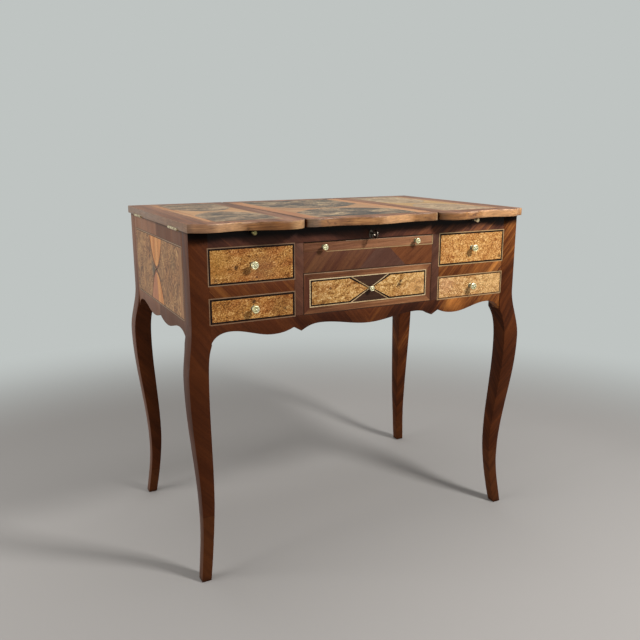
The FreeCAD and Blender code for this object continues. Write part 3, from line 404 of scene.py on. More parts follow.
finishes = {
    # Brazilian rosewood veneer laid slantwise: near-black streaks on red brown
    "facade": veneer("rosewood veneer apron", "leg", 50, endLightAndTone=(60, 330, -0.02, 0.14), leafMm=95, figure=0.75,
        band=0.6, patches=((228, 541, 34, 0.2), (10, 538, 40, 0.08), (180, 520, 22, -0.15)), **slanting),
    "leg": veneer("rosewood veneer front leg", "leg", 50, seed=2.0, endLightAndTone=(60, 330, 0.0, 0.16),
        calmBelow=(560, 700, 0.55, -0.03), overhangShadow=(705, 724, 0.05), foot=(142, "#5c351b", 0.6), **slanting,
        **legPolish),
    "legBack": veneer("rosewood veneer back leg", "leg", 50, seed=3.0, overhangShadow=(705, 724, 0.3),
        foot=(68, "#5c351b", 0.6), figure=0.6, band=0.5, **slanting, **legPolish),
    "rail": veneer("rosewood veneer rail", "leg", 48, seed=4.0, endLightAndTone=(60, 330, 0.09, 0.17), leafMm=52,
        figure=0.8, band=0.6, **slanting),
    "frieze": veneer("rosewood veneer frieze", "frieze", 40, seed=6.0, endLightAndTone=(-60, 260, 0.0, 0.12), leafMm=80,
        overhangShadow=(705, 724, 0.05), figure=0.8, **slanting),
    "divider": veneer("rosewood veneer divider", "divider", 48, mirrored=True, seed=4.0, figure=0.5, band=0.5,
        endLightAndTone=(-160, 160, 0.1, 0.0)),
    "middle": veneer("rosewood veneer middle rail", "middle", 50, seed=4.0, figure=0.7, band=0.4),
    "middlePlain": veneer("plain rosewood leaf", "plainLeaf", 40, seed=12.0, figure=0.4, band=0.3),
    "middleOrange": veneer("orange rosewood leaf", "orange", 38, seed=14.0, figure=0.7, band=0.5),
    "slide": veneer("rosewood veneer slide edge", "slide", 4, seed=7.0, figureMm=(160, 5),
        endLightAndTone=(-150, 20, -0.28, 0.12)),
    # kingwood round the fronts: finer stripes, worn paler where hands go, and lighter towards one end partly
    # by painted light
    "border": veneer("kingwood drawer border", "border", seed=8.0, figureMm=(90, 4),
        endLightAndTone=(-150, 90, -0.12, 0.22), patches=((-90, 634, 55, 0.16), (10, 634, 60, 0.18),
        (95, 634, 62, 0.3))),
    "borderUp": veneer("kingwood drawer border upright", "borderUp", 90, seed=8.0, figureMm=(90, 4),
        endLightAndTone=(60, 330, 0.0, 0.12)),
    "lipping": lipping("kingwood lipping", 750),
    # rosewood on the sides and top, faded by daylight to a greyer brown, and stained beech out of sight
    "side": veneer("faded rosewood veneer side", "side", 84, seed=3.0, figureMm=(150, 12), figure=0.4,
        band=0.3, darkBefore=13.8, overhangShadow=(726, 733, 0.3), calmBelow=(535, 560, 0.8, -0.16)),
    "post": veneer("faded rosewood veneer post", "post", 80, seed=5.0, figureMm=(150, 9), figure=0.7,
        band=0.5, foot=(142, "#6d4a35", 0.5), calmBelow=(480, 640, 0.7, -0.2), overhangShadow=(726, 733, 0.3),
        darkBefore=13.8),
    "top": veneer("faded rosewood veneer top", "top", 88, "flat", seed=1.0, figureMm=(170, 9)),
    "underside": veneer("stained beech underside", "leg", 3, "flat", seed=11.0, rough=0.5, coat=0.0,
        figure=0.6, band=0.5),
    # tulipwood: pinkish orange with straight stripes
    "tulipSide": veneer("tulipwood side", "tulip", 90, seed=2.0, figureMm=(300, 6), bandMm=(600, 18)),
    "tulipPink": veneer("pink tulipwood side", "tulipPink", 90, seed=4.0, figureMm=(300, 7)),
    "tulipBrown": veneer("brown tulipwood side", "tulipBrown", 88, seed=7.0, figureMm=(200, 6)),
    "tulipLong": veneer("tulipwood top border", "tulipLong", 89, "flat", seed=9.0, figureMm=(260, 6),
        patches=((-138, 750, 40, -0.15),)),
    "tulipTop": veneer("tulipwood top", "tulipTop", seed=3.0, **topStripes),
    "tulipCentre": veneer("tulipwood top centre", "tulipCentre", seed=4.0, **topStripes),
    "tulipPale": veneer("pale tulipwood top", "tulipPale", 0, "flat", seed=6.0, figureMm=(260, 6)),
    "boxwoodTop": veneer("boxwood stringing top", "boxwoodTop", 90, "flat", seed=1.0, figureMm=(40, 3)),
    # thuya burr on the drawers: golden, with crowded small eyes, knots and stains
    "thuyaLeft": burr("thuya burr left", "thuya", curlMm=2.0, seed=1.0, curl=3.6, cloud=0.8, eyes=0.7,
        knots=(((-345, 0, 668), 44, 0.25, "#b98a3c"), ((-248, 0, 655), 40, 0.35, "#7a5138"),
        ((-345, 0, 638), 6, 0.6, knotDark), ((-303, 0, 660), 7, 0.85, knotDark))),
    "thuyaLowLeft": burr("thuya burr lower left", "thuya", curlMm=2.2, seed=2.6, curl=3.2, cloud=0.9,
        eyes=0.8, knots=(((-267, 0, 590), 7, 0.85, knotDark), ((-200, 0, 570), 4, 0.85, knotDark),
        ((-205, 0, 577), 42, 0.3, "#5d3a1c"))),
    "thuyaRight": burr("thuya burr right", "thuyaGold", curlMm=1.9, cloudMm=9, seed=4.0, curl=2.2, cloud=0.7,
        tintShare=0.25, swirl=0.2, swirlMm=11, turns=3.4, knots=(((350, 0, 640), 5, 0.8, knotDark),)),
    "thuyaLowRight": burr("thuya burr lower right", "thuyaPink", curlMm=1.9, cloudMm=9, seed=6.0, eyes=0.65,
        curl=3.4, cloud=1.0, tintShare=0.15, swirl=0.1, swirlMm=13, turns=2.6,
        knots=(((200, 0, 585), 30, 0.2, "#d8a283"), ((325, 0, 578), 50, 0.15, "#ecc481"))),
    "thuyaCentre": burr("thuya burr centre", "thuyaPale", curlMm=2.1, cloudMm=9, seed=8.0, curl=3.0,
        cloud=1.6, eyes=0.95, eyeMm=4.0, tintShare=0.45, knots=(((74, 0, 595), 8, 0.9, knotDark),
        ((78, 0, 603), 5, 0.9, knotDark), ((-96, 0, 601), 4, 0.85, knotDark),
        ((-130, 0, 590), 60, 0.3, "#8a5a2c"), ((125, 0, 594), 55, 0.25, "#ecbd7c"))),
    # walnut burr on the sides and top: grey olive with large swirls
    "walnutSide": burr("walnut burr side", "walnut", curlMm=3.2, cloudMm=26, eyeMm=16, eyeColour="#4a3a2e",
        eyes=0.3, swirl=0.17, swirlMm=42, seed=2.0, curl=1.1, cloud=0.9, rough=0.45, tintShare=0.25,
        growth=122, stretch=5.0, knots=(((0, 50, 622), 24, 0.8, "#45413c"),
        ((0, -110, 660), 30, 0.35, "#5d4a33"))),
    "walnutTop": burr("walnut burr top", "greyWalnut", curlMm=4, eyeMm=20, eyeColour="#241d17", eyes=0.75,
        swirl=0.14, seed=5.0, curl=2.6, cloud=1.8, tintShare=0.3, stretch=3.0, **topBurr),
    "walnutDark": burr("walnut burr top centre", "darkWalnut", curlMm=4, eyeMm=20, eyeColour="#1d1712",
        eyes=0.9, swirl=0.16, seed=5.5, curl=3.0, cloud=2.4, tintShare=0.35, stretch=3.4, tint="#cfae9c",
        **topBurr),
    "walnutPale": burr("pale walnut burr top", "paleWalnut", curlMm=6, eyeMm=26, eyeColour="#4a3a26",
        eyes=0.4, swirl=0.1, seed=9.0, curl=1.7, cloud=1.0, tintShare=0.2, stretch=3.0, **topBurr),
    # oak drawer linings and poplar boards: raw, planed, darkened by age
    "oak": veneer("planed oak lining", "oak", 90, "flat", seed=3.0, figureMm=(200, 8), **raw),
    "oakUpright": veneer("planed oak upright", "oak", 2, seed=6.0, figureMm=(200, 8), **raw),
    "poplar": veneer("aged poplar boards", "poplar", seed=8.0, figureMm=(260, 14), rough=0.65, coat=0.0,
        tintShare=0.2),
    "knobBrass": metal("rubbed cast brass", "#fdf6cf", "#e8dda2", 0.42, recess="#251c0c"),
    "hingeBrass": metal("worn rolled brass", "#efdcb4", "#96794f", 0.36),
    # a darker copy of the brass: painted shade for the left catch bolt
    "shadedCatchBrass": metal("brass darkened in painted shade", "#8f8559", "#4b4329", 0.4),
    "gilt": metal("gold leaf tooling", "#d9b766", "#9c7a38", 0.35, scratchMm=2),
    "steel": metal("browned forged steel", "#6f655a", "#332b26", 0.36),
    "mirror": mirrorGlass("silvered mirror glass"),
    "leather": calfLeather("waxed calf leather"),
}

# stringing: straight plain sticks, so only two shades close together
for key, name, seed, figureMm in (
        ("boxwood", "boxwood stringing", 1.0, (40, 3)),
        ("boxwoodBright", "bright boxwood stringing", 1.0, (40, 3)),
        ("boxwoodDull", "dulled boxwood stringing", 1.0, (40, 3)),
        ("boxwoodSide", "boxwood stringing side", 1.0, (40, 3)),
        ("ebony", "ebonised pear stringing", 1.0, (120, 7)),
        ("sideLine", "dark stringing side", 5.0, (60, 3)),
        ("wenge", "wenge marquetry", 5.0, (60, 3))):
    finishes[key] = veneer(name, key, seed=seed, figureMm=figureMm)
print("materials:", len(finishes))

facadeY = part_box("frieze_rail")[0].y
sideX = -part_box("side_panel_left")[0].x
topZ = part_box("flap_left")[1].z
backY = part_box("back_panel")[1].y
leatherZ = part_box("slide_leather")[1].z

planes = {  # first, second and height over the surface, all in metres
    "front": lambda a, b, h: (a, facadeY - h, b),
    "left": lambda a, b, h: (-sideX - h, a, b),
    "right": lambda a, b, h: (sideX + h, a, b),
    "top": lambda a, b, h: (a, b, topZ + h),
    "leather": lambda a, b, h: (a, b, leatherZ + h),
}


def ringLoop(x0, x1, z0, z1):
    return [(x0, z0), (x1, z0), (x1, z1), (x0, z1)]


def grow(rect, by):
    return (rect[0] - by, rect[1] + by, rect[2] - by, rect[3] + by)


def ring(outer, inner):
    return [ringLoop(*outer), ringLoop(*inner)]


def settle(obj, body, slotName, *replaced):
    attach(obj, body)
    if replaced:
        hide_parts(*replaced)
    return obj


def placed(name, mesh):
    obj = bpy.data.objects.new(name, mesh)
    bpy.context.scene.collection.objects.link(obj)
    return obj


def meshObject(name, verts, polygons, materials):
    mesh = bpy.data.meshes.new(name)
    mesh.from_pydata(verts, [], polygons)
    for material in materials:
        mesh.materials.append(material)
    return placed(name, mesh)


def soften(work, belowDegrees):
    for edge in work.edges:
        if len(edge.link_faces) == 2:
            edge.smooth = edge.calc_face_angle(0) < math.radians(belowDegrees)


def outwards(mesh, smoothBelow=0):
    work = bmesh.new()
    work.from_mesh(mesh)
    bmesh.ops.remove_doubles(work, verts=work.verts, dist=1e-7)
    bmesh.ops.recalc_face_normals(work, faces=work.faces)
    for face in work.faces:
        face.smooth = smoothBelow > 0
    soften(work, smoothBelow)
    work.to_mesh(mesh)
    work.free()


# thin veneer let into a surface: loops are in mm, the first one outside, the others holes
def inlay(name, shapes, plane, material, body, slotName="rosewood_veneer", proud=0.12, deep=0.5):
    verts, polygons = [], []
    for loops in shapes:
        base = len(verts)
        flat = [[Vector((a, b, 0)) for a, b in loop] for loop in loops]
        count = sum(len(loop) for loop in flat)
        for height in (proud, -deep):
            verts += [planes[plane](p.x * mm, p.y * mm, height * mm) for loop in flat for p in loop]
        for triangle in tessellate_polygon(flat):
            polygons.append([base + i for i in triangle])
            polygons.append([base + count + i for i in reversed(triangle)])
        start = base
        for loop in flat:
            n = len(loop)
            for i in range(start, start + n):
                after = start + (i - start + 1) % n
                polygons.append([i, after, after + count, i + count])
            start += n
    obj = meshObject(name, verts, polygons, [finishes[material]])
    outwards(obj.data)
    return settle(obj, body, slotName)


easing = {"flatWithin": 0.5, "sharpFrom": 28, "smoothBelow": 40, "segments": 2}  # the first three in degrees


# a CAD board with its arrises eased, dressed face by face
def easedBoard(node, materials, pick=None, ease=0.5, body="carcass", slotName="rosewood_veneer"):
    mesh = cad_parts[node].data.copy()
    mesh.materials.clear()
    work = bmesh.new()
    work.from_mesh(mesh)
    bmesh.ops.remove_doubles(work, verts=work.verts, dist=1e-6)
    flatWithin, sharpFrom = math.radians(easing["flatWithin"]), math.radians(easing["sharpFrom"])
    bmesh.ops.dissolve_limit(work, angle_limit=flatWithin, verts=work.verts, edges=work.edges)
    sharp = [e for e in work.edges if len(e.link_faces) == 2 and e.calc_face_angle(0) > sharpFrom]
    bmesh.ops.bevel(work, geom=sharp, offset=ease * mm, segments=easing["segments"], profile=0.5,
                    affect="EDGES", clamp_overlap=True)
    bmesh.ops.triangulate(work, faces=[f for f in work.faces if len(f.verts) > 4])
    for face in work.faces:
        face.smooth = True
        if pick:
            face.material_index = pick(face.normal, face.calc_center_median())
    soften(work, easing["smoothBelow"])
    work.to_mesh(mesh)
    work.free()
    for material in materials:
        mesh.materials.append(finishes[material])
    return settle(placed(node + "_eased", mesh), body, slotName, node)


def paint(material, *nodes):
    for node in nodes:
        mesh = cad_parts[node].data
        mesh.materials.clear()
        mesh.materials.append(finishes[material])


# number of a board's finish by where a face looks: side panels, fronts and rails, legs, then unseen boards
def outside(normal, centre):
    if normal.z < -0.2:
        return 2
    return 0 if abs(normal.x) > 0.5 and abs(centre.x) > sideX - 1.5 * mm else 1


def showing(normal, centre):
    return 0 if normal.y < -0.3 or normal.z < -0.3 else 1


def legFace(normal, centre):
    if normal.z > 0.6 and centre.z > topZ - 20 * mm:  # end grain under the flap
        return 2
    return 1 if normal.x * centre.x > 0 and abs(normal.x) > abs(normal.y) else 0


def lining(normal, centre):
    return 0 if abs(normal.z) > 0.5 else 1


for corner in ("front_left", "front_right", "back_left", "back_right"):
    legFinishes = ["leg" if "front" in corner else "legBack", "post", "oakUpright"]
    easedBoard("leg_" + corner, legFinishes, legFace, 0.8)
railFinishes = {"front_apron": "facade", "frieze_rail": "frieze", "divider_left": "divider",
                "divider_right": "divider", "drawer_rail_left": "rail", "drawer_rail_right": "rail",
                "middle_rail": "middle"}
for node, finish in railFinishes.items():
    easedBoard(node, [finish, "oakUpright"], showing)
wornY = facadeY + 0.03 * mm  # worn a hair under the shoulder of a pushed-in catch
for vertex in bpy.data.objects["frieze_rail_eased"].data.vertices:
    vertex.co.y = max(vertex.co.y, wornY)
for node in ("side_panel_left", "side_panel_right"):
    easedBoard(node, ["side", "oakUpright", "underside"], outside)
for node in ("upper_front_left", "upper_front_right"):
    easedBoard(node, ["border", "oakUpright"], showing, 0.3, slotName="burl_veneer")
easedBoard("back_panel", ["poplar"], slotName="plain_wood")
for node in ("bottom_board_left", "bottom_board_right", "bottom_board_centre", "well_floor_left",
             "well_floor_right", "slide_bed", "mirror_tray_floor", "drawer_guides", "glue_blocks"):
    easedBoard(node, ["oak", "oakUpright"], lining, slotName="plain_wood")
print("carcass dressed")

# stringing and burr on the five fronts of the facade, in mm across and up
facade = {
    "sideFronts": {  # opening, body, burr, light line, dark line
        "upper_left": ((-358.5, -178.5, 629, 700), "carcass", "thuyaLeft", "boxwoodDull", "ebony"),
        "upper_right": ((178.5, 358.5, 629, 700), "carcass", "thuyaRight", "boxwood", "ebony"),
        "lower_left": ((-358.5, -178.5, 552, 602), "drawer_left", "thuyaLowLeft", "boxwoodDull", "ebony"),
        "lower_right": ((178.5, 358.5, 552, 602), "drawer_right", "thuyaLowRight", "boxwood", "wenge"),
    },
    "gap": 0.7, "light": 1.9, "fixedGap": 0.15, "dark": {"ebony": 3.4, "wenge": 1.8},
    "centre": (-157.5, 157.5, 552, 637), "border": 12.5, "arris": 1.3, "centreLight": 2.0, "centreDark": 3.2,
    "crossHalf": 46.0, "crossLight": 1.9, "crossDark": 2.2,
    "slide": (-157.5, 157.5, 680.5, 700), "slideLine": 1.5, "slideLineFrom": -106,
    "slideHighlight": 1.1, "slideHighlightFrom": -60,
    "middle": (638.5, 678.8), "plainLeaf": (-27, 14, 89, 47),  # x at its lower and upper left, then right
}


def frontInlay(name, shapes, material, body="carcass", **more):
    inlay(name, shapes, "front", material, body, **more)


def sideFront(place, rect, body, burrFinish, lightFinish, darkFinish):
    frontInlay("stringing_light_" + place, [ring(grow(rect, facade["light"]), rect)], lightFinish)
    # the dark line round the burr is partly dark stringing, partly painted shade of the gap round the front
    edge = grow(rect, -facade["fixedGap" if body == "carcass" else "gap"])
    field = grow(edge, -facade["dark"][darkFinish])
    frontInlay("dark_line_and_gap_shade_" + place, [ring(edge, field)], darkFinish, body)
    frontInlay("burr_" + place, [[ringLoop(*field)]], burrFinish, body, slotName="burl_veneer")


for place, front in facade["sideFronts"].items():
    sideFront(place, *front)


# a line of even width along some points
def stroke(points, width):
    one, other = [], []
    for i, (x, z) in enumerate(points):
        (x0, z0), (x1, z1) = points[max(i - 1, 0)], points[min(i + 1, len(points) - 1)]
        length = math.hypot(x1 - x0, z1 - z0)
        nx, nz = -(z1 - z0) / length * width / 2, (x1 - x0) / length * width / 2
        one.append((x + nx, z + nz))
        other.append((x - nx, z - nz))
    return one + other[::-1]


def centreFront():
    edge = grow(facade["centre"], -facade["gap"])
    light = grow(edge, -facade["border"])
    dark = grow(light, -facade["centreLight"])
    x0, x1, z0, z1 = grow(dark, -facade["centreDark"])
    half, mid = facade["crossHalf"], (z0 + z1) / 2
    body = "drawer_centre"
    # four mitred lengths of kingwood round the picture
    outer, inner = ringLoop(*edge), ringLoop(*light)
    mitred = [[[outer[i], outer[(i + 1) % 4], inner[(i + 1) % 4], inner[i]]] for i in range(4)]
    frontInlay("centre_border_long", [mitred[0], mitred[2]], "border", body)
    frontInlay("centre_border_short", [mitred[3], mitred[1]], "borderUp", body)
    frontInlay("centre_light_line", [ring(light, dark)], "boxwoodBright", body)
    paleArris = ringLoop(edge[0], edge[1], edge[3] - facade["arris"], edge[3])
    frontInlay("centre_border_arris", [[paleArris]], "boxwoodSide", body, proud=0.16)
    wide = facade["crossDark"] * math.hypot(half, (z1 - z0) / 2) / ((z1 - z0) / 2)
    for sign, side in ((-1, "left"), (1, "right")):
        outer, inner = (dark[1], x1) if sign > 0 else (dark[0], x0)
        wedge = [(outer, dark[2]), (sign * half, dark[2]), (0, mid), (sign * half, dark[3]), (outer, dark[3])]
        far = sign * (half + wide)
        field = [(inner, z0), (far, z0), (sign * wide, mid), (far, z1), (inner, z1)]
        frontInlay("centre_dark_line_" + side, [[wedge, field]], "ebony", body)
        frontInlay("centre_burr_" + side, [[field]], "thuyaCentre", body, slotName="burl_veneer")
    for far, side in ((dark[2], "lower"), (dark[3], "upper")):
        frontInlay("centre_fan_" + side, [[[(-half, far), (half, far), (0, mid)]]], "wenge", body)
    for name, start, end, finish, proud in (("", dark[2], dark[3], "boxwoodBright", 0.16),
                                            ("_back", dark[3], dark[2], "boxwood", 0.2)):
        cross = stroke([(-half, start), (half, end)], facade["crossLight"])
        frontInlay("centre_cross_line" + name, [[cross]], finish, body, proud=proud)


def slideFront():
    x0, x1, z0, z1 = facade["slide"]
    line, arris = facade["slideLine"], z1 - facade["gap"]
    # a pale line along the slide's upper arris: painted highlight
    paleArris = ringLoop(facade["slideHighlightFrom"], x1 - facade["gap"], arris - facade["slideHighlight"], arris)
    # a dark line above the slide: painted shadow in the gap over it
    frontInlay("slide_gap_shadow_line", [[ringLoop(x0, x1, z1, z1 + line)]], "ebony")
    frontInlay("slide_arris_highlight", [[paleArris]], "boxwoodSide", "slide", proud=0.1)
    frontInlay("centre_opening_line", [ring(grow(facade["centre"], line), facade["centre"])], "wenge")
    below = ringLoop(facade["slideLineFrom"], x1 + line, z0 - line, z0)
    frontInlay("slide_opening_line", [[below], [ringLoop(x1, x1 + line, z0, z1)]], "boxwood")
    low, high = facade["middle"]
    lowLeft, highLeft, lowRight, highRight = facade["plainLeaf"]
    plain = [(lowLeft, low), (lowRight, low), (highRight, high), (highLeft, high)]
    frontInlay("middle_leaf_plain", [[plain]], "middlePlain")
    orange = [(lowRight, low), (x1, low), (x1, high), (highRight, high)]
    frontInlay("middle_leaf_orange", [[orange]], "middleOrange")


centreFront()
slideFront()
print("facade inlaid")

# marquetry of the sides: walnut burr with an upright tulipwood hourglass
sides = {
    "z": (556, 700), "margin": 46, "half": 53, "waist": 0, "steps": 48, "power": 0.52, "apart": 0.05,
    "strip": 20, "behind": 11, "share": 0.97, "heart": 0.1, "heartTop": 0.48,
    "line": 2.0, "innerLine": 1.6, "outerLine": 1.1, "darkLine": 2.2, "paleLine": 2.6, "paleBefore": 4,
    "centreLine": 1.3, "centreLineY": (2, -20), "centreLineFrom": 0.62,
}


# points from one end of a curved hourglass side to the other
def hourglass(start, end, shape, share=1.0, low=0.0, high=1.0):
    points = []
    for i in range(shape["steps"] + 1):
        s = low + (high - low) * i / shape["steps"]
        width = shape["waist"] + (shape["half"] - shape["waist"]) * abs(2 * s - 1) ** shape["power"]
        points.append((start + (end - start) * s, width * share))
    return points


def sideMarquetry(plane):
    def letIn(name, shapes, finish, proud=0.12, slotName="rosewood_veneer"):
        inlay("side_" + name + "_" + plane, shapes, plane, finish, "carcass", slotName, proud)

    z0, z1 = sides["z"]
    y0, y1 = facadeY / mm + sides["margin"], backY / mm - sides["margin"]
    middle = (y0 + y1) / 2 + sides["behind"]
    shift = 2 * sides["apart"] * (z1 - z0)
    for name, start, end, low, high, towards, finish, proud in (
            ("lower", z0, z1 - shift, 0.0, 0.5, 1.0, "tulipSide", 0.12),
            ("upper", z0 + shift, z1, 0.5, 1.0, 1.0, "tulipSide", 0.12),
            ("heart", z0, z1 - shift, 0.0, sides["heartTop"], sides["heart"], "tulipPink", 0.14)):
        part = hourglass(start, end, sides, sides["share"], low, high)
        loop = [(middle - w * towards, z) for z, w in part] + [(middle + w, z) for z, w in reversed(part)]
        letIn("hourglass_" + name, [[loop]], finish, proud)
    lineFrom = z0 + (z1 - z0) * sides["centreLineFrom"]
    centres = [middle + y for y in sides["centreLineY"]]
    stripes = [[stroke([(y, lineFrom), (y, z1)], sides["centreLine"])] for y in centres]
    letIn("centre_line", stripes, "sideLine", 0.16)
    curve = hourglass(z0, z1, sides)
    for sign, side in ((-1, "front"), (1, "back")):
        near = [(middle + sign * w, z) for z, w in curve]
        edge = y0 + sides["strip"] if sign < 0 else y1
        letIn("burr_" + side, [[[(edge, z0)] + near + [(edge, z1)]]], "walnutSide", slotName="burl_veneer")
        half = len(near) // 2
        for part, name in ((near[:half + 1], "lower"), (near[half:], "upper")):
            line = stroke(part, sides["darkLine"])
            letIn("curve_line_" + name + "_" + side, [[line]], "sideLine", 0.18 + 0.02 * sign)
        if sign < 0:
            paler = [(y - sides["paleBefore"], z) for y, z in near[:half - 3]]
            letIn("pale_line", [[stroke(paler, sides["paleLine"])]], "boxwoodDull", 0.15)
    letIn("strip", [[ringLoop(y0, y0 + sides["strip"], z0, z1)]], "tulipBrown")
    field = (y0, y1, z0, z1)
    light = grow(field, sides["line"])
    letIn("line", [ring(light, field)], "boxwoodSide")
    letIn("dark_line", [ring(grow(light, sides["outerLine"]), light)], "sideLine")
    letIn("inner_line", [ring(field, grow(field, -sides["innerLine"]))], "sideLine", 0.22)


for plane in ("left", "right"):
    sideMarquetry(plane)

# flaps of the top, with a lying tulipwood hourglass in burr fields
flaps = {  # field across and back, middle of the waist, border strip, burr and tulipwood
    "left": ((-338, -198), (-208, 221), 6, (-352, -338), "walnutTop", "tulipTop"),
    "centre": ((-122, 122), (-218, 221), -26, (-155, -122), "walnutDark", "tulipCentre"),
    "right": ((198, 338), (-208, 221), -4, (338, 352), "walnutPale", "tulipPale"),
}
flapShape = {"half": 84, "waist": 6, "line": 1.6, "steps": 24, "power": 1.9, "seamShadeInside": 170}


def flapFace(normal, centre):  # 2 is for undersides, and for the edges that meet in a seam, where the dark underside finish is painted shade in the narrow gap
    if normal.z < -0.6 or (abs(normal.x) > 0.9 and abs(centre.x) < flapShape["seamShadeInside"] * mm):
        return 2
    return 0 if normal.z > 0.75 else 1


def flapMarquetry(body, across, deep, waist, border, burrFinish, tulipFinish):
    def letIn(name, shapes, finish, slotName="rosewood_veneer"):
        inlay("top_" + name + body.removeprefix("flap"), shapes, "top", finish, body, slotName)

    (x0, x1), (y0, y1), (low, high), w = across, deep, border, flapShape["line"]
    curve = hourglass(x0, x1, flapShape)
    frontEdge = [(x, waist - half) for x, half in curve]
    backEdge = [(x, waist + half) for x, half in curve]
    letIn("hourglass", [[frontEdge + backEdge[::-1]]], tulipFinish)
    for end, y, edge in (("front", y0, frontEdge), ("back", y1, backEdge)):
        letIn("burr_" + end, [[[(x0, y)] + edge + [(x1, y)]]], burrFinish, "burl_veneer")
    strips, outer = [(low + w, high - w)], (min(x0, low) - w, max(x1, high) + w)
    if body == "flap_centre":  # a strip on both sides, with the line inside them
        strips, outer = strips + [(x1 + w, -low - w)], (x0 - w, x1 + w)
    letIn("border", [[ringLoop(a, b, y0 - w, y1 + w)] for a, b in strips], "tulipLong")
    letIn("line", [ring(outer + (y0 - w, y1 + w), (outer[0] + w, outer[1] - w, y0, y1))], "boxwoodTop")


for side, flap in flaps.items():
    easedBoard("flap_" + side, ["top", "lipping", "underside"], flapFace, 0.4, "flap_" + side)
    flapMarquetry("flap_" + side, *flap)
print("sides and top inlaid")

# slide, drawers and mirror
easedBoard("slide_board", ["slide", "oak"], showing, 0.4, "slide")
for side in ("left", "right", "centre"):
    body = "drawer_" + side
    easedBoard(body + "_front", ["border", "oakUpright"], showing, 0.3, body, "burl_veneer")
    easedBoard(body + "_box", ["oak", "oakUpright"], lining, 0.4, body, "plain_wood")
easedBoard("drawer_centre_bottom", ["oak"], body="drawer_centre", slotName="plain_wood")
easedBoard("mirror_frame", ["underside"], ease=0.4, body="flap_centre")
# the left catch bolt, under the overhang of the flap, takes a darker brass: painted shade
paint("shadedCatchBrass", "catch_bolt_left")
paint("hingeBrass", "catch_bolt_right", "hinge_leaves_carcass", "hinge_leaves_flap_left",
      "hinge_leaves_flap_right", "hinge_leaves_flap_centre", "catch_keeper_left", "catch_keeper_right",
      "lock_strike")
paint("steel", "lock_case", "lock_bolt", "key_plate")
paint("mirror", "mirror_glass")
paint("leather", "slide_leather")

# turned and chased brass knob: outline as shares of its projection and radius, then a petalled face
knobShape = {
    "outline": [(0.0, 0.64), (0.035, 0.68), (0.075, 0.66), (0.11, 0.56), (0.16, 0.46), (0.24, 0.36),
                (0.33, 0.32), (0.43, 0.33), (0.5, 0.4), (0.56, 0.54), (0.62, 0.72), (0.68, 0.87),
                (0.75, 0.96), (0.82, 1.0), (0.87, 0.985), (0.91, 0.93), (0.94, 0.85)],
    "face": [(0.955, 0.8), (0.945, 0.74), (0.95, 0.64), (0.96, 0.52), (0.965, 0.4), (0.96, 0.28),
             (0.965, 0.2), (0.995, 0.13), (1.0, 0.06)],
    "petals": 6, "petalDepth": 0.1, "petalSpan": (0.1, 0.78), "petalSharpness": 1.6, "twist": 0.5,
    "segments": 72, "shankRadius": 2.0, "neck": (0.72, 0.25), "neckTarnishAndShade": 0.75, "grooveTarnish": 2.2,
    "smoothBelow": 32,
}


# depth of the groove between two petals, as a share
def petalGroove(share, turn):
    low, high = knobShape["petalSpan"]
    if not low < share < high:
        return 0.0
    window = math.sin(math.pi * (share - low) / (high - low))
    wave = abs(math.sin(knobShape["petals"] * turn / 2 + knobShape["twist"] * share * math.pi))
    return window * (1 - wave) ** knobShape["petalSharpness"]


def turnedKnob(node, body):
    low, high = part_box(node)
    cx, cz = (low.x + high.x) / 2, (low.z + high.z) / 2
    radius, projection, segments = (high.x - low.x) / 2, facadeY - low.y, knobShape["segments"]
    shank = knobShape["shankRadius"] * mm
    rings = [(high.y, shank, 0.0, 1.0), (facadeY, shank, 0.0, 1.0)]
    for out, share in knobShape["outline"]:  # the neck is dark: tarnished, and in painted shade
        inNeck = (knobShape["neck"][0] - out) / knobShape["neck"][1]
        rings.append((facadeY - out * projection, share * radius, 0.0,
                      min(1.0, max(0.0, inNeck)) * knobShape["neckTarnishAndShade"]))
    rings += [(facadeY - out * projection, share * radius, share, 0.0) for out, share in knobShape["face"]]
    verts, polygons, hollows = [], [], []
    for y, r, share, neckDark in rings:
        for i in range(segments):
            turn = 2 * math.pi * i / segments
            groove = petalGroove(share, turn)
            hollows.append(min(1.0, groove * knobShape["grooveTarnish"] + neckDark))
            sunk = max(y + groove * knobShape["petalDepth"] * radius, low.y)
            verts.append((cx + r * math.cos(turn), sunk, cz + r * math.sin(turn)))
    for start in range(0, (len(rings) - 1) * segments, segments):
        for i in range(segments):
            j = (i + 1) % segments
            polygons.append([start + i, start + j, start + segments + j, start + segments + i])
    polygons += [list(range(segments)), list(range(len(verts) - segments, len(verts)))]
    obj = meshObject(node + "_turned", verts, polygons, [finishes["knobBrass"]])
    obj.data.attributes.new("hollow", "FLOAT", "POINT").data.foreach_set("value", hollows)
    outwards(obj.data, knobShape["smoothBelow"])
    settle(obj, body, "brass", node)


for node, body in (("upper_knob_left", "carcass"), ("upper_knob_right", "carcass"),
                   ("drawer_left_knob", "drawer_left"), ("drawer_right_knob", "drawer_right"),
                   ("drawer_centre_knob", "drawer_centre"), ("slide_knob_left", "slide"),
                   ("slide_knob_right", "slide")):
    turnedKnob(node, body)
easedBoard("key", ["steel"], ease=0.35, body="key", slotName="steel")
print("fittings turned")


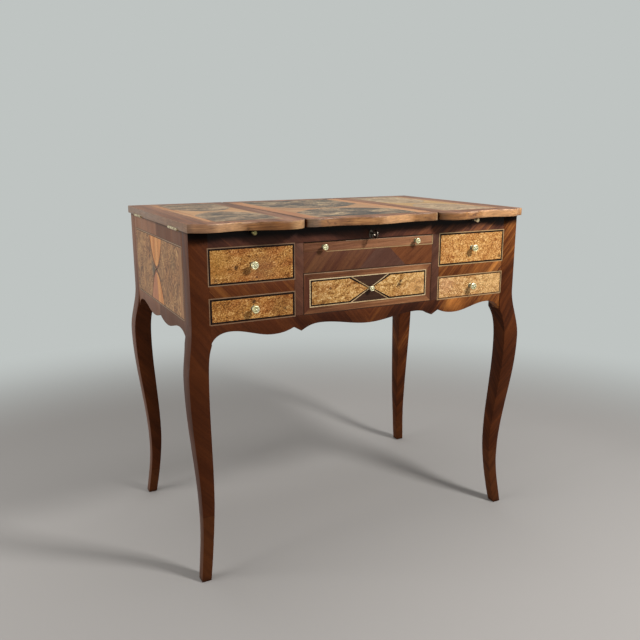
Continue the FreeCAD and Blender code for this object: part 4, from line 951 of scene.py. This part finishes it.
# the result of a node tree on an object, as a plain mesh in a new object
def grown(name, tree, values, body, slotName):
    seedMesh = bpy.data.meshes.new(name + "_seed")
    seedMesh.from_pydata([tuple(c * mm for c in p) for p in values.pop("points", [(0, 0, 0)])], [], [])
    source = placed(name + "_source", seedMesh)
    modifier = source.modifiers.new("nodes", "NODES")
    modifier.node_group = tree
    sockets = {item.name: item.identifier for item in tree.interface.items_tree if item.in_out == "INPUT"}
    for key, value in values.items():
        modifier[sockets[key]] = value
    evaluated = source.evaluated_get(bpy.context.evaluated_depsgraph_get())
    mesh = bpy.data.meshes.new_from_object(evaluated)
    source.modifiers.remove(modifier)
    bpy.data.objects.remove(source)
    return settle(placed(name, mesh), body, slotName)


def nodeTree(name, sockets):
    tree = bpy.data.node_groups.new(name, "GeometryNodeTree")
    tree.interface.new_socket("Geometry", in_out="INPUT", socket_type="NodeSocketGeometry")
    for key, kind in sockets.items():
        tree.interface.new_socket(key, in_out="INPUT", socket_type="NodeSocket" + kind)
    tree.interface.new_socket("Geometry", in_out="OUTPUT", socket_type="NodeSocketGeometry")
    add = functools.partial(addNode, tree)
    return tree, add, add("NodeGroupInput").node.outputs


def finishTree(add, instances):
    add("NodeGroupOutput", add("GeometryNodeRealizeInstances", instances))


hinges = {"sideY": (-134.2, 161.8), "backX": (-110, 110), "sideX": 399, "backY": 251.3, "top": 733.5,
          "inset": 10.5, "spread": 24, "headRadius": 2.3, "headHeight": 0.14, "headSides": 20,
          "slotWidth": 0.6, "slotLength": 1.84, "slotDepth": 1.06}  # length and depth as shares of the head's


# slotted countersunk screws, one on each point, each left at its own turn
def screwTree():
    tree, add, given = nodeTree("slotted screws", {
        "head radius": "Float", "head height": "Float", "slot width": "Float", "seed": "Int",
        "metal": "Material", "slot dark": "Material"})
    radius, height = given["head radius"], given["head height"]
    head = {"Vertices": hinges["headSides"], "Radius": radius, "Depth": height}
    head = add("GeometryNodeMeshCylinder", head)
    head = add("GeometryNodeSetMaterial", {0: head, "Material": given["metal"]})
    long, deep = add("MULTIPLY", radius, hinges["slotLength"]), add("MULTIPLY", height, hinges["slotDepth"])
    slot = add("GeometryNodeMeshCube", {"Size": add("CombineXYZ", long, given["slot width"], deep)})
    slot = add("GeometryNodeSetMaterial", {0: slot, "Material": given["slot dark"]})
    screw = add("GeometryNodeJoinGeometry", head)
    tree.links.new(slot, screw.node.inputs[0])
    turn = {2: 0.0, 3: math.pi, "Seed": given["seed"]}
    turn = add("FunctionNodeRandomValue", turn, data_type="FLOAT", out=1)
    screws = add("GeometryNodeInstanceOnPoints", {"Points": given[0], "Instance": screw,
                                                  "Rotation": add("CombineXYZ", {2: turn})})
    finishTree(add, screws)
    return tree


leather = {"x": 130.8, "y": (-181.2, 149.1), "inset": 9.0, "lineWidth": 0.7, "lines": (2.9, -3.6),
           "step": 5.0, "lozenge": 1.5, "lozengeHeight": 0.16}


# gold lozenges stamped with a roll along a rectangle
def toolingTree():
    tree, add, given = nodeTree("gilt tooling", {"width": "Float", "length": "Float", "centre": "Vector",
                                                 "step": "Float", "size": "Float", "gold": "Material"})
    edges = {"Width": given["width"], "Height": given["length"]}
    path = add("GeometryNodeCurvePrimitiveQuadrilateral", edges)
    marks = add("GeometryNodeCurveToPoints", {0: path, "Length": given["step"]}, mode="LENGTH")
    lozenge = {"Vertices": 4, "Radius": given["size"], "Depth": leather["lozengeHeight"] * mm}
    lozenge = add("GeometryNodeMeshCylinder", lozenge)
    stamped = add("GeometryNodeInstanceOnPoints", {"Points": marks, "Instance": lozenge})
    moved = add("GeometryNodeTransform", {0: stamped, "Translation": given["centre"]})
    finishTree(add, add("GeometryNodeSetMaterial", {0: moved, "Material": given["gold"]}))
    return tree


def hingeScrews():
    tree = screwTree()
    spread = (-hinges["spread"], 0, hinges["spread"])
    inset, top = hinges["inset"], hinges["top"]
    left = [(-hinges["sideX"] + inset, y + s, top) for y in hinges["sideY"] for s in spread]
    right = [(-x, y, z) for x, y, z in left]
    back = [(x + s, hinges["backY"] - inset, top) for x in hinges["backX"] for s in spread]
    onBodies = {"carcass": left + right + back, "flap_left": left, "flap_right": right, "flap_centre": back}
    for number, (body, points) in enumerate(onBodies.items()):
        values = {"points": points, "head radius": hinges["headRadius"] * mm, "seed": number + 1,
                  "head height": hinges["headHeight"] * mm, "slot width": hinges["slotWidth"] * mm,
                  "metal": finishes["hingeBrass"], "slot dark": finishes["steel"]}
        grown("hinge_screws_" + body, tree, values, body, "brass")


hingeScrews()


def giltBorder():
    (y0, y1), x, line = leather["y"], leather["x"], leather["lineWidth"]
    rect = grow((-x, x, y0, y1), -leather["inset"])
    fillets = [ring(grow(rect, by + line), grow(rect, by)) for by in leather["lines"]]
    inlay("leather_fillets", fillets, "leather", "gilt", "slide", "leather", proud=0.08, deep=0.3)
    values = {"width": (rect[1] - rect[0]) * mm, "length": (rect[3] - rect[2]) * mm,
              "centre": (0, (y0 + y1) / 2 * mm, leatherZ), "step": leather["step"] * mm,
              "size": leather["lozenge"] * mm, "gold": finishes["gilt"]}
    grown("leather_tooling", toolingTree(), values, "slide", "leather")


giltBorder()
print("screws set and leather tooled")

# pale floor that runs out into a pale backdrop, soft studio light and the camera of the photograph
studio = {
    "floorColour": "#a29e9a", "floorHalf": 30.0, "backColour": "#bfc4c2",
    "fadeCentre": (-0.3, -0.6, 0.0), "fadeFrom": 1.4, "fadeTo": 2.4, "worldStrength": 0.25,
    "softboxes": {  # place, what it looks at, side and power
        "key softbox": ((0.8, -1.35, 1.75), (0.1, -0.2, 0.6), 0.3, 34),
        "fill softbox": ((-2.7, 0.1, 1.3), (-0.4, 0, 0.6), 1.6, 38),
        "overhead softbox": ((0, 0.3, 2.7), (0, 0, 0.6), 1.6, 22),
    },
}


def paleFloor():
    colour = linear(studio["floorColour"])
    material, add, shader = startMaterial("pale floor", Base_Color=colour, Roughness=0.8)
    place = add("TexCoord", out="Object")
    away = add("VectorMath", place, studio["fadeCentre"], operation="DISTANCE", out="Value")
    fade = add("MapRange", away, studio["fadeFrom"], studio["fadeTo"], 0.0, 1.0, **smooth)
    glow = add("Emission", {"Color": linear(studio["backColour"])})
    blend = add("MixShader", fade, shader.outputs[0], glow)
    output = [n for n in material.node_tree.nodes if n.type == "OUTPUT_MATERIAL"][0]
    material.node_tree.links.new(blend, output.inputs[0])
    half = studio["floorHalf"]
    corners = [(x, y, 0) for x, y in ringLoop(-half, half, -half, half)]
    return meshObject("floor", corners, [(0, 1, 2, 3)], [material])


floor = paleFloor()


def studioWorld():
    world = bpy.data.worlds.new("studio")
    bpy.context.scene.world = world
    world.use_nodes = True
    world.node_tree.nodes.clear()
    add = functools.partial(addNode, world.node_tree)
    rays = add("LightPath").node.outputs
    seen = add("MAXIMUM", rays["Is Camera Ray"], rays["Is Glossy Ray"])
    seen = add("MAXIMUM", seen, rays["Is Transmission Ray"])
    lighting = add("Background", linear("#ffffff"), studio["worldStrength"])
    backdrop = add("Background", linear(studio["backColour"]), 1.0)
    add("OutputWorld", add("MixShader", seen, lighting, backdrop))


def areaLight(name, place, target, size, power):
    data = bpy.data.lights.new(name, "AREA")
    data.shape, data.size, data.energy = "SQUARE", size, power
    lamp = placed(name, data)
    lamp.location = place
    lamp.rotation_euler = (Vector(target) - Vector(place)).to_track_quat("-Z", "Y").to_euler()


studioWorld()
for name, light in studio["softboxes"].items():
    areaLight(name, *light)

camera = {"place": (-0.7769, -1.5140, 0.8873), "turn": (90 - 13.894, 0.063, -26.729), "focal": 713.72,
          "centre": (317.5, 323.66), "frame": 640}
cameraData = bpy.data.cameras.new("camera")
cameraData.sensor_width = 36
cameraData.lens = camera["focal"] * cameraData.sensor_width / camera["frame"]
cameraData.shift_x = (camera["frame"] / 2 - camera["centre"][0]) / camera["frame"]
cameraData.shift_y = (camera["centre"][1] - camera["frame"] / 2) / camera["frame"]
cameraObject = placed("camera", cameraData)
cameraObject.location = camera["place"]
cameraObject.rotation_euler = [math.radians(a) for a in camera["turn"]]
bpy.context.scene.camera = cameraObject
bpy.context.scene.view_settings.view_transform = "Standard"

print("scene ready")
